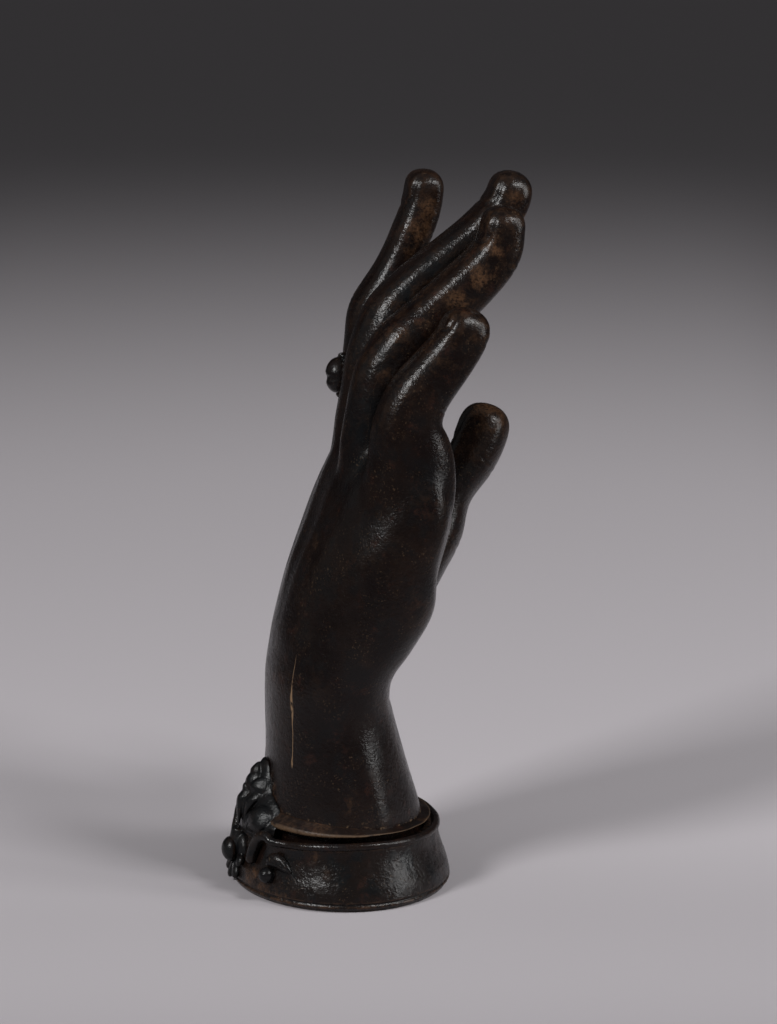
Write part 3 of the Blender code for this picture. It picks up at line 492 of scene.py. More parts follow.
def raise_skin(piece, heights):
    """Moves every point along its normal by its height in millimetres."""
    places, normals = points_of(piece.data)
    moved = (places + normals * heights[:, None]) * MM
    piece.data.vertices.foreach_set("co", moved.astype(np.float32).ravel())
    piece.data.update()


def store(piece, name, values):
    """Keeps one number for each point under a name that the materials read."""
    attribute = piece.data.attributes.new(name, "FLOAT", "POINT")
    attribute.data.foreach_set("value", values.astype(np.float32))


def mark_wear(piece, passes):
    """Stores "worn", 1 on sharp edges, and "deep", 1 in grooves.

    The piece is smoothed, and the way from a point to where it went, measured
    along its normal, is positive in a groove and negative on an edge.
    """
    soften = piece.modifiers.new("soften", "SMOOTH")
    soften.iterations = passes
    graph = bpy.context.evaluated_depsgraph_get()
    smoothed = points_of(piece.evaluated_get(graph).to_mesh())[0]
    piece.modifiers.remove(soften)
    places, normals = points_of(piece.data)
    depth = ((smoothed - places) * normals).sum(1)
    store(piece, "worn", ramp(-depth, 0.012, 0.075))
    store(piece, "deep", ramp(depth, 0.015, 0.09))


def dress(piece, slot, stands_for, wear, ochre=0.0, black=0.0):
    """Marks, stains, shades and paints a bronze piece that stands for a CAD node.

    Ochre and black are the shares of these stains, one number or one for each point.
    """
    mark_wear(piece, wear)
    for mark, share in (("ochre_share", ochre), ("black_share", black)):
        store(piece, mark, np.zeros(len(piece.data.vertices)) + share)
    name, ground, black_share, values = BRONZES[slot]
    patina = bpy.context.scene.paperweight_patina
    material = bpy.data.materials.get(name) or cast_bronze(
        name, patina, linear(ground) if ground else patina.brown, black_share, **values)
    piece.data.shade_smooth()
    piece.data.materials.clear()
    piece.data.materials.append(material)
    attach(piece, BODY)
    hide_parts(stands_for)


# Form helpers

def circle(steps):
    """Angles of so many steps once round."""
    return np.linspace(0, 2 * math.pi, steps, endpoint=False)


def between(rows, steps):
    """Catmull-Rom rows between the given ones, in equal steps."""
    rows = np.array(rows, float)
    padded = np.vstack([2 * rows[0] - rows[1], rows, 2 * rows[-1] - rows[-2]])
    a, b, c, d = (padded[i:len(padded) - 3 + i, None] for i in range(4))
    t = np.linspace(0, 1, steps, endpoint=False)[None, :, None]
    spans = 0.5 * (2 * b + (c - a) * t + (2 * a - 5 * b + 4 * c - d) * t**2
                   + (3 * b - a - 3 * c + d) * t**3)
    return np.vstack([spans.reshape(-1, rows.shape[1]), rows[-1:]])


def travelled(path):
    """Length from the start of a path to each of its points."""
    return np.concatenate([[0], np.cumsum(np.linalg.norm(np.diff(path, axis=0), axis=1))])


def unit(v):
    """Vectors of length 1 in the directions of v."""
    return v / np.linalg.norm(v, axis=-1, keepdims=True)


def ramp(value, low, high):
    """0 at low and 1 at high, with a soft start and end."""
    t = np.clip((value - low) / (high - low), 0, 1)
    return t * t * (3 - 2 * t)


def bump(value, middle, width):
    """A bell of height 1 round its middle."""
    return np.exp(-(((value - middle) / width) ** 2))


def ripple(points, size, seed):
    """Gentle unevenness from -1 to 1: the mean of sine waves with seeded directions."""
    rng = np.random.default_rng(seed)
    ways = unit(rng.normal(size=(9, 3))) * rng.uniform(0.7, 1.4, (9, 1)) * 2 * math.pi / size
    waves = np.sin(points @ ways.T + rng.uniform(0, 2 * math.pi, 9))
    return waves.mean(1) * 2


def rounded(phi, squareness):
    """Cosine and sine of the angle, pulled towards a square: a superellipse."""
    c, s = np.cos(phi), np.sin(phi)
    power = 2 / squareness
    return np.sign(c) * np.abs(c) ** power, np.sign(s) * np.abs(s) ** power


def finger_line(stations, across):
    """Middle line, half sizes, length so far and directions of a finger."""
    rows = between(stations, FINGER_STEPS)
    centre, thick, wide = rows[:, :3], rows[:, 3], rows[:, 4]
    tangent = unit(np.gradient(centre, axis=0))
    side = np.array(across, float)
    side = unit(side - tangent * (tangent @ side)[:, None])
    front = np.cross(side, tangent)
    return centre, thick, wide, travelled(centre), tangent, side, front


def finger_shell(stations, across, squareness):
    """A finger: superelliptic rings along its middle line, closed by a blunt tip.

    The rings grow squarer from the root to the tip. Beyond the last full ring,
    the length and the radius follow a superelliptic quarter turn.
    """
    centre, thick, wide, length, tangent, side, front = finger_line(stations, across)
    left = length[-1] - length
    keep = left > thick[-1] * 1.15
    reach = left[keep][-1]
    ahead, shrink = rounded(np.radians(np.linspace(0, 88, 19)[1:]), TIP_SQUARENESS)[::-1]
    ends = len(ahead)
    centre = np.vstack([centre[keep],
                        centre[keep][-1] + np.outer(ahead * reach, tangent[keep][-1])])
    side = np.vstack([side[keep], np.repeat(side[keep][-1:], ends, 0)])
    front = np.vstack([front[keep], np.repeat(front[keep][-1:], ends, 0)])
    thick = np.concatenate([thick[keep], thick[keep][-1] * shrink])
    wide = np.concatenate([wide[keep], wide[keep][-1] * shrink])
    share = ramp(np.arange(len(thick)), 10, len(thick) - ends)
    square = squareness[0] + (squareness[1] - squareness[0]) * share[:, None, None]
    phi = circle(72)[None, :, None]
    along, through = rounded(phi, square)
    return shell(centre[:, None] + along * wide[:, None, None] * side[:, None]
                 + through * thick[:, None, None] * front[:, None])


def palm_shell(sections):
    """Wrist and palm: leaning superelliptic rings whose sides are pulled to the palm."""
    x, y, z, lean, half_thick, half_wide, arch, square = between(sections, 10).T[:, :, None]
    phi = circle(160)[None, :]
    across, through = rounded(phi, square)
    through = through * half_thick + arch * across**2
    lean = np.radians(lean)
    return shell(np.stack([x + through * np.cos(lean), y + across * half_wide,
                           z - through * np.sin(lean)], -1))


def turned(profile, oval, steps):
    """Rings of a profile of (half axis, height) points turned round Z into an oval."""
    half, height = np.array(profile, float).T[:, :, None]
    phi = circle(steps)[None, :]
    return np.stack(np.broadcast_arrays(half * np.cos(phi), half * oval * np.sin(phi), height), -1)


def tube(path, radii, sides=20):
    """Rings round a path: each is square to the path, and up is kept from turning."""
    tangent = unit(np.gradient(path, axis=0))
    beside = unit(np.cross(tangent, np.array((0.0, 0.3, 1.0))))
    above = np.cross(beside, tangent)
    phi = circle(sides)[None, :, None]
    return (path[:, None] + radii[:, None, None] * (np.cos(phi) * beside[:, None]
                                                    + np.sin(phi) * above[:, None]))


def dome(centre, radii, axes=np.identity(3), rows=24, around=40):
    """Rings of an ellipsoid, from one pole to the other along its third axis."""
    theta = np.linspace(0.02, math.pi - 0.02, rows)[:, None]
    phi = circle(around)[None, :]
    local = np.stack([np.sin(theta) * np.cos(phi) * radii[0],
                      np.sin(theta) * np.sin(phi) * radii[1],
                      np.cos(theta) * np.ones_like(phi) * radii[2]], -1)
    return np.array(centre, float) + local @ np.array(axes, float)


# The hand

def near_line(points, path):
    """Distance from each (y, z) point to a smooth line through the path."""
    line = between(path, 8)
    start, step = line[:-1], np.diff(line, axis=0)
    nearest = np.full(len(points), np.inf)
    for a, d in zip(start, step):
        share = np.clip((points - a) @ d / (d @ d), 0, 1)
        nearest = np.minimum(nearest, np.linalg.norm(points - a - share[:, None] * d, axis=1))
    return nearest


def digit_relief(places, digit, settings):
    """Nail, joint swellings and creases of one finger, in millimetres.

    Each point is measured from the nearest place of the finger's middle line:
    its length along the finger, its offset to the side and to the front.
    The nail is a plate inside a rounded rectangle. It is flatter than the finger,
    so it stands higher towards its sides, where a groove and a fold run along it.
    The inner side of a joint has faint creases, the back has a soft swelling.
    """
    stations, across, middle_joint, end_joint, nail_half, nail_wide = digit
    centre, thick, wide, length, tangent, side, front = finger_line(stations, across)
    relief = np.zeros(len(places))
    low, high = centre.min(0) - 9, centre.max(0) + 9
    near = np.flatnonzero(((places > low) & (places < high)).all(1))
    offset = places[near, None] - centre[None]
    distance = (offset**2).sum(-1)
    nearest = distance.argmin(1)
    row = np.arange(len(near))
    offset = offset[row, nearest]
    along = length[nearest] + (offset * tangent[nearest]).sum(1)
    aside = (offset * side[nearest]).sum(1)
    ahead = (offset * front[nearest]).sum(1)
    radius = np.hypot(aside / wide[nearest], ahead / thick[nearest])
    own = ramp(radius, 1.55, 1.25)
    back = ramp(-ahead / thick[nearest], 0.1, 0.45)
    inside = ramp(ahead / thick[nearest], 0.35, 0.8)
    joints = [length[FINGER_STEPS * station] for station in (middle_joint, end_joint)]

    nail_middle = length[-1] - nail_half - 0.35
    oblong = (np.abs((along - nail_middle) / nail_half) ** 3
              + np.abs(aside / nail_wide) ** 3) ** (1 / 3)
    relief_height = settings.nail_relief / MM
    sideways = np.clip(np.abs(aside) / nail_wide, 0, 1.1) ** 2
    nail = (relief_height * (0.10 + 0.36 * sideways) * ramp(oblong, 1.10, 0.92)
            - 0.24 * relief_height * bump(oblong, 1.16, 0.13) * (0.1 + 0.9 * sideways)
            + 0.08 * relief_height * bump(oblong, 1.42, 0.22))
    tip_free = ramp(along, length[-1] + 0.3, length[-1] - 0.7)
    height = nail * back * tip_free

    crease = settings.crease_depth / MM
    swell = settings.knuckle_swell / MM
    for joint, strength in zip(joints, (1.0, 0.8)):
        lines = bump(along, joint - 0.4, 0.30) + 0.7 * bump(along, joint + 0.7, 0.30)
        height -= crease * strength * lines * inside
        height += swell * strength * bump(along, joint, 2.4) * back
        wrinkles = sum(bump(along - 0.12 * aside**2 / wide[nearest], joint + shift, 0.2)
                       for shift in (-0.8, 0.0, 0.8))
        narrow = ramp(np.abs(aside) / wide[nearest], 0.75, 0.3)
        height -= 0.6 * crease * strength * wrinkles * back * narrow
    relief[near] = height * own
    return relief


def palm_relief(places, normals):
    """Lines of the palm, tendons and knuckles on the back, and the ridge of the wrist."""
    flat = places[:, 1:]
    palm_side = ramp(normals[:, 0], 0.45, 0.8) * ramp(places[:, 2], 78, 74)
    relief = np.zeros(len(places))
    for path, depth, width in PALM_LINES:
        relief -= depth * np.exp(-(near_line(flat, path) / width) ** 2) * palm_side
    # Tendons fan out from the wrist and end in low knuckles
    back = ramp(-normals[:, 0], 0.2, 0.8)
    reach = ramp(places[:, 2], 42, 56) * ramp(places[:, 2], 84, 70)
    for root, low in ((-13.0, -5.0), (-4.8, -1.6), (4.8, 2.0), (14.0, 5.6)):
        share = np.clip((places[:, 2] - 36) / 38, 0, 1)
        middle = low + (root - low) * share
        relief += 0.20 * bump(places[:, 1], middle, 1.7 + 0.7 * share) * back * reach
        knuckle = bump(places[:, 1], root, 2.6) * bump(places[:, 2], 74, 3.6)
        relief += 0.28 * knuckle * back
    path, height, width = WRIST_RIDGE
    beside = near_line(places[:, ::2], path)
    relief += height * bump(beside, 0, width) * ramp(-normals[:, 1], 0.5, 0.9)
    return relief


def near_places(places, table):
    """Largest share of the table's places at each point: bells of their own radius."""
    share = np.zeros(len(places))
    for x, y, z, radius, strength in table:
        away = ((places - (x, y, z)) ** 2).sum(1)
        share = np.maximum(share, strength * np.exp(-away / radius**2))
    return share


def hand_skin(settings):
    """Fuses wrist, palm, web, fingers and thumb into one skin and carves it."""
    shells = [palm_shell(PALM_SECTIONS), finger_shell(WEB, WEB_ACROSS, (2.0, 2.0))]
    shells += [finger_shell(digit[0], digit[1], FINGER_SQUARENESS) for digit in DIGITS]
    skin = piece_from("hand_casting", shells)
    grid = settings.grid / MM
    one_skin(skin, grid, 0)

    # The palm is softened more than the fingers, which keep the grooves between them
    weights = np.round(10 * (1 - ramp(points_of(skin.data)[0][:, 2], 70, 80)))
    group = skin.vertex_groups.new(name="broad")
    for level in range(1, 11):
        group.add(np.flatnonzero(weights == level).tolist(), level / 10, "REPLACE")
    # Passes on a grid of 0.5 mm, and more of them on a finer one
    for passes, where in ((44, "broad"), (4, "")):
        soften = skin.modifiers.new("soften", "SMOOTH")
        soften.iterations = round(passes * (0.5 / grid) ** 2)
        soften.vertex_group = where
    bake_modifiers(skin)

    places, normals = points_of(skin.data)
    heights = palm_relief(places, normals) + 0.06 * ripple(places, 12, 3)
    for digit in DIGITS:
        heights += digit_relief(places, digit, settings)
    raise_skin(skin, heights)
    return thin(skin, settings.triangles)


def hand_marks(skin, cuff):
    """Marks the wrist for its dust, and gives the hand's shares of ochre and of blue black, which
    is also painted shade between the fingers.

    "above_collar" is the height over the top of the collar, which dust reaches, and
    "streak_width" the half width of the streak at each height, both in metres.
    """
    places = points_of(skin.data)[0]
    x, y, z = places.T
    bottom, height = collar_levels(cuff, x)
    above = z - bottom - height
    store(skin, "above_collar", np.where(above > -0.3, above, 5) * MM)
    streak = np.interp(z, *np.array(STREAK_WIDTHS).T) * (x < 0)
    store(skin, "streak_width", np.maximum(streak, 0.001) * MM)
    handled = 0.3 * ramp(z, 78, 92) * ramp(y, 6, -2)
    return (np.maximum(0.85 * near_places(places, OCHRE_PLACES), handled),
            near_places(places, BLACK_PATINA_AND_SHADE_PLACES))


# The cuff

def cuff_profile(cuff):
    """Outer face of the cuff from rim to foot, as (half axis, height)."""
    rim, foot, height = cuff.rim_half / MM, cuff.foot_half / MM, cuff.height / MM
    outline = [(rim + (foot - rim) * flare, height * share) for share, flare in CUFF_FLARE]
    outline.append((foot, FOOT_CHAMFER_HEIGHT))
    outline.append((foot - FOOT_CHAMFER_DEPTH, 0.0))
    return outline


def cuff_half(cuff, height):
    """Half axis of the cuff's outer face at a height."""
    halves, heights = zip(*reversed(cuff_profile(cuff)))
    return np.interp(height, heights, halves)


def dip(cuff, x, height):
    """How far a point of the mouth is lowered: least at the sides, most behind."""
    share = x / (cuff.rim_half / MM)
    drop = SIDE_DIP + np.where(share > 0, cuff.mouth_dip / MM - SIDE_DIP, BACK_DIP) * share**2
    return drop * np.clip((height - SHELF_TOP) / (DIP_FROM - SHELF_TOP), 0, 1)


def cuff_surface(cuff):
    """Wall of the cuff: its section is turned into an oval whose mouth dips.

    The section runs over the rounded rim, down the flared outer face to the
    chamfer of the foot, and back up inside past the shelf.
    """
    wall, height = cuff.wall / MM, cuff.height / MM
    outer = between([(half, level) for half, level in cuff_profile(cuff)[:-2]], 10)
    foot = [(cuff.foot_half / MM - inward, level) for inward, level in FOOT_SHAPE]
    rebate = cuff.foot_half / MM - 2.2 + GAP
    inner = [(rebate, 0.0), (rebate, 2.2), (9.0, 2.2), (9.0, SHELF_TOP),
             (cuff_half(cuff, SHELF_TOP) - wall, SHELF_TOP)]
    inner += [(cuff_half(cuff, level) - wall, level) for level in np.linspace(5, height, 12)]
    rim = [(cuff.rim_half / MM - wall / 2, height + 0.02)]
    profile = inner + rim + outer.tolist() + foot
    rings = turned(profile, cuff.oval, 320)
    rings[..., 2] -= dip(cuff, rings[..., 0], rings[..., 2])
    # The casting was chased by hand, so its face is a little uneven
    outward = unit(rings * (1, 1, 0))
    points = rings.reshape(-1, 3)
    uneven = 0.07 * ripple(points, 9, 8) + 0.03 * ripple(points, 3.5, 9)
    level = rings[..., 2]
    fade = ramp(level, 0.6, 1.6) * ramp(level, height - 0.3, height - 1.6)
    return rings + outward * (uneven.reshape(level.shape) * fade)[..., None]


def rim_route(cuff):
    """Middle line of the rim wire, from its end on the +Y side to the other one.

    It follows the mouth of the cuff. At the back it rises on to the outer face,
    curls over and runs down beside the boss through the points of its end.
    """
    wire, height = cuff.wire_radius / MM, cuff.height / MM
    rim_half = cuff.rim_half / MM - wire / 2
    rim_height = height + GAP / 2
    turn = np.linspace(math.radians(44), math.pi, 240)
    x = -rim_half * np.cos(turn)
    mouth = np.stack([x, rim_half * cuff.oval * np.sin(turn),
                      rim_height - dip(cuff, x, rim_height)], -1)
    y, level, proud = np.array(WIRE_END[::-1]).T
    half = cuff_half(cuff, level) + proud + wire / 2
    end = np.stack([-half * np.sqrt(1 - (y / (half * cuff.oval)) ** 2), y, level], -1)
    half_way = np.vstack([between(np.vstack([end, mouth[:24:6]]), 14)[:-1], mouth[18:]])
    return np.vstack([half_way, half_way[-2::-1] * (1, -1, 1)])


def rim_surface(cuff):
    """The rim wire: rings along its route, with round ends and a hand-worked radius."""
    route = rim_route(cuff)
    radius = cuff.wire_radius / MM * (1 + 0.05 * ripple(route, 7, 5))
    radius = np.maximum(radius, WIRE_END_RADIUS * ramp(-route[:, 0], 11.5, 15.0))
    length = travelled(route)
    end = np.minimum(length, length[-1] - length)
    radius *= np.sqrt(1 - np.clip(1 - end / (cuff.wire_radius / MM), 0, 0.97) ** 2)
    return tube(route, radius)


def collar_levels(cuff, x):
    """Height of the collar's lower edge at x, and the collar's own height there.

    The edge is lower on the palm side, and the collar gets higher to the back.
    """
    share = np.clip(x / (cuff.rim_half / MM), 0, 1)
    bottom = cuff.height / MM + GAP + COLLAR_LIFT - (cuff.mouth_dip / MM - SIDE_DIP) * share**2
    low, more = COLLAR_SLOPE
    return bottom, cuff.collar_height / MM * (low + more * ramp(x, 9, -14))


def collar_surface(cuff):
    """The collar: a ledge round the wrist whose top leans against it."""
    inner = cuff.wrist_half / MM + GAP
    profile = [(inner + cuff.collar_width / MM * across, up) for across, up in COLLAR_SHAPE]
    rings = turned(profile, cuff.oval, 320)
    bottom, height = collar_levels(cuff, rings[..., 0])
    rings[..., 2] = bottom + rings[..., 2] * height
    uneven = 0.05 * ripple(rings.reshape(-1, 3), 5, 12)
    rings[..., 2] += uneven.reshape(rings.shape[:2])
    return rings


# Palmette, rivet, beads and leaves

def crest_point(cuff, y, height, out=0.0, body=1.0):
    """Points on the palmette's face over what carries it.

    The thickness over the cuff or the wrist falls from the middle line to the edge
    of the ogive as the root of a circle does, and out is added to it.
    """
    heights, carriers, faces, breadths = np.array(CREST_FORM).T
    level = np.clip(height, heights[0], heights[-1])
    carrier = np.interp(level, heights, carriers)
    share = np.clip(1 - (y / np.interp(level, heights, breadths)) ** 2, 0, 1) ** 0.6
    half = carrier + (np.interp(level, heights, faces) - carrier) * share * body + out
    return np.stack(np.broadcast_arrays(
        -half * np.sqrt(np.clip(1 - (y / (half * cuff.oval)) ** 2, 0, 1)), y, height), -1)


def crest_body(cuff):
    """Body of the palmette: over every height, an arc over the face and back inside it."""
    level = between(np.array(CREST_FORM)[3:, :1], 5)
    heights, carriers, faces, breadths = np.array(CREST_FORM).T
    phi = circle(72)[None, :]
    y = np.cos(phi) * np.interp(level, heights, breadths)
    front = crest_point(cuff, y, level, 0.0, CREST_BODY_SHARE)
    behind = crest_point(cuff, y, level, 0.05, 0.0)
    return np.where((np.sin(phi) > 0)[..., None], front, behind)


def petal_surface(cuff, root, turn, start, length, width, thickness, lift, curl):
    """A petal on the palmette's face, pointing away from its root.

    Round its section, phi runs from one edge over the front to the other edge and
    back behind. The width grows to two thirds of the length and closes in a round
    end. The front is a full arch that gets thicker towards the tip, with a groove
    down the middle of its lower half, and the tip turns out with the third power
    of the way. Two hollows run across all upper petals at fixed heights.
    """
    way = math.radians(turn)
    along = np.linspace(0, 1, 48)[:, None]
    phi = circle(56)[None, :]
    breadth = np.sin(math.pi * np.clip(along, 0.012, 0.988) ** 1.7) ** 0.55 * (0.5 + 0.5 * along)
    aside = np.cos(phi) * breadth * width / 2
    front = np.sin(phi)
    groove = 0.20 * bump(np.cos(phi), 0, 0.2) * ramp(along, 0.9, 0.55) * ramp(front, 0.3, 0.9)
    rise = np.where(front > 0, front * (0.72 + 0.38 * along) - groove, front)
    out = thickness * (0.6 * rise * breadth - 0.62) + lift + curl * along**3
    reach = start + along * length
    y = reach * math.sin(way) + aside * math.cos(way)
    height = root + reach * math.cos(way) - aside * math.sin(way)
    hollow = 0.6 * bump(height, 15.4, 0.8) + 0.3 * bump(height, 18.2, 0.5)
    return crest_point(cuff, y, height, out - hollow)


def palmette_shells(cuff, ornament):
    """All petals, the body behind them, the hub, and the stem between them."""
    boss = ornament.boss_height / MM
    curl = ornament.petal_curl / MM
    shells = [shell(crest_body(cuff))]
    for petals, root, bend in ((UPPER_PETALS, CREST_ROOT, curl), (LOWER_PETALS, boss, 0.5 * curl)):
        for turn, *shape in petals:
            for sign in (1, -1) if turn % 180 else (1,):
                shells.append(shell(petal_surface(cuff, root, sign * turn, *shape, bend)))
    hub = cuff_half(cuff, boss) + HUB_PROUD + GAP
    shells.append(shell(dome((HUB_RADIUS / 2 - hub, 0, boss),
                             (HUB_RADIUS / 2, HUB_RADIUS, HUB_RADIUS))))
    # Stem between the hub and the root of the fan
    level = np.linspace(boss, CREST_ROOT + 1, 12)
    stem = crest_point(cuff, np.zeros(12), level, -0.9)
    shells.append(shell(tube(stem, np.linspace(1.7, 1.3, 12), 24)))
    return shells


def to_back(rings, height):
    """Rings made round Z, turned so that Z points to the back of the hand."""
    return np.stack([-rings[..., 2], rings[..., 1], rings[..., 0] + height], -1)


def boss_surface(cuff, ornament):
    """The boss: a ball with a flat back on a low step, over the hub of the palmette."""
    radius, height = ornament.boss_radius / MM, ornament.boss_height / MM
    base = cuff_half(cuff, height) + HUB_PROUD + GAP
    angle = np.linspace(0.03, math.pi / 2 - 0.12, 24)
    profile = [(radius * math.sin(a), base + 0.25 + (0.9 * radius - 0.25) * math.cos(a))
               for a in angle]
    profile += [(radius * 0.985, base + 0.12), (radius * 0.93, base - 0.05),
                (radius * 0.8, base - 0.25)]
    return to_back(turned(profile, 1, 64), height)


def cuff_place(cuff, turn, height, proud):
    """Place on the cuff and its directions: forward along it, up, and outwards."""
    half = cuff_half(cuff, height) + proud
    angle = math.radians(turn)
    place = np.array((-half * math.cos(angle), half * cuff.oval * math.sin(angle), height))
    along = unit(np.array((half * math.sin(angle), half * cuff.oval * math.cos(angle), 0)))
    up = np.array((0.0, 0.0, 1.0))
    out = np.cross(up, along)
    if out @ place < 0:
        out = -out
    return place, along, up, out


def leaf_surface(place, along, up, out, length, width, proud, bow_up):
    """A leaf that curls over the bead: a bud along a bowed line, with a soft midrib.

    The length runs from -1 to 1. The line bows up with one minus its square, the
    width follows an egg that is fuller towards the bead, and faint veins are
    slanted sine ridges that fade at the edge.
    """
    t = np.linspace(-0.99, 0.99, 72)[:, None]
    phi = circle(72)[None, :]
    egg = np.sqrt(1 - t**2) * (1 - 0.30 * t)
    side = np.cos(phi) * egg
    front = np.sin(phi)
    veins = 0.025 * np.sin(9 * t + 5 * np.abs(np.cos(phi))) * ramp(front, 0.2, 0.7)
    rib = 0.14 * bump(np.cos(phi), -0.25, 0.22) * ramp(front, 0.2, 0.9)
    rise = front * egg * (0.82 + rib + veins)
    line = place + t[..., None] * along * length / 2 + (1 - t[..., None] ** 2) * up * bow_up
    return line + (side * width / 2)[..., None] * up + (rise * proud)[..., None] * out


# The finger ring

def ring_frame():
    """Middle of the index finger at the ring, its half sizes, its directions along the
    finger, to its side and outwards, and the foot of the collet on it."""
    centre, thick, wide, length, tangent, side, front = finger_line(INDEX_FINGER, FINGER_ACROSS)
    *middle, thick, wide = (np.interp(RING_PLACE, length, values)
                            for values in (*centre.T, thick, wide))
    row = int(np.argmin(np.abs(length - RING_PLACE)))
    axes = np.stack([tangent[row], side[row], -front[row]])
    return middle, thick, wide, axes, middle + axes[2] * (thick - RING_SINK + COLLET_RISE)


def band_surface(ring):
    """The band: a rounded section carried round the finger's oval."""
    centre, thick, wide, axes, _ = ring_frame()
    width, thickness = ring.band_width / MM, ring.band_thickness / MM
    phi = circle(96)[:, None]
    across, through = rounded(circle(28)[None, :], 3.0)
    proud = thickness / 2 - RING_SINK + through * thickness / 2
    return centre + np.stack([across * width / 2 + 0 * phi, (wide + proud) * np.sin(phi),
                              (thick + proud) * np.cos(phi)], -1) @ axes


def collet_shells(ring):
    """The collet: an oval tray with a beaded edge round the stone."""
    *_, axes, foot = ring_frame()
    half = ring.collet_half / MM
    tray = [(0.01, -0.2), (half * 0.6, -0.2), (half - 0.35, -0.1), (half - 0.05, 0.15),
            (half, 0.4), (half - 0.12, 0.62), (half - 0.4, 0.72), (0.01, 0.72)]
    shells = [shell(foot + turned(tray, RING_OVAL, 96) @ axes)]
    turn = np.arange(ring.beads) * 2 * math.pi / ring.beads
    reach = half - 0.42
    for x, y in zip(np.cos(turn) * reach, np.sin(turn) * reach * RING_OVAL):
        shells.append(shell(dome(foot + (x, y, 0.72) @ axes, [0.36] * 3, axes, 10, 14)))
    return shells


def stone_surface(ring):
    """The stone: a dome with a shallow furrow across it, as if of two lobes."""
    *_, axes, foot = ring_frame()
    half = ring.stone_half / MM
    profile = [(half * math.sin(a), 0.7 + 2.5 * max(math.cos(a), 0) ** STONE_FULLNESS)
               for a in np.linspace(0.02, math.pi / 2, 30)]
    profile += [(half * 0.97, 0.5), (0.01, 0.5)]
    rings = turned(profile, RING_OVAL, 96)
    rings[..., 2] -= 0.34 * bump(rings[..., 0], -0.5, 0.6) * ramp(rings[..., 2], 0.9, 2.0)
    return foot + rings @ axes


# Finishes

SOFT = {"interpolation_type": "SMOOTHSTEP"}


def node(tree, kind, inputs, output=0, **settings):
    """Adds one node with its settings, its values and its links, and gives its output."""
    made = tree.nodes.new(kind)
    for name, value in settings.items():
        setattr(made, name, value)
    for place, value in inputs.items():
        if isinstance(value, bpy.types.NodeSocket):
            tree.links.new(value, made.inputs[place])
        elif value is not None:
            made.inputs[place].default_value = value
    return made.outputs[output]


def new_material(name):
    """An empty material with one shader, and its tree, shader and Object coordinates."""
    material = bpy.data.materials.new(name)
    material.use_nodes = True
    tree = material.node_tree
    place = node(tree, "ShaderNodeTexCoord", {}, "Object")
    return material, tree, tree.nodes["Principled BSDF"], place


def rgba(colour):
    """Colour for a socket, which also takes an opacity."""
    return (*colour, 1.0)


def patches(tree, place, size, low, high, detail=3.0, roughness=0.55, share=1.0):
    """Soft patches of a size in millimetres: noise that is 0 under low and share over high."""
    cloud = node(tree, "ShaderNodeTexNoise", {"Vector": place, "Scale": 1000 / size,
                                              "Detail": detail, "Roughness": roughness})
    return node(tree, "ShaderNodeMapRange",
                {"Value": cloud, "From Min": low, "From Max": high, "To Max": share}, **SOFT)


def painted(tree, paint, layers):
    """Colour with layers of paint over it: each is a colour and the mask of its share."""
    for shade, mask in layers:
        paint = node(tree, "ShaderNodeMix", {0: mask, 6: paint, 7: rgba(shade)}, 2,
                     data_type="RGBA")
    return paint


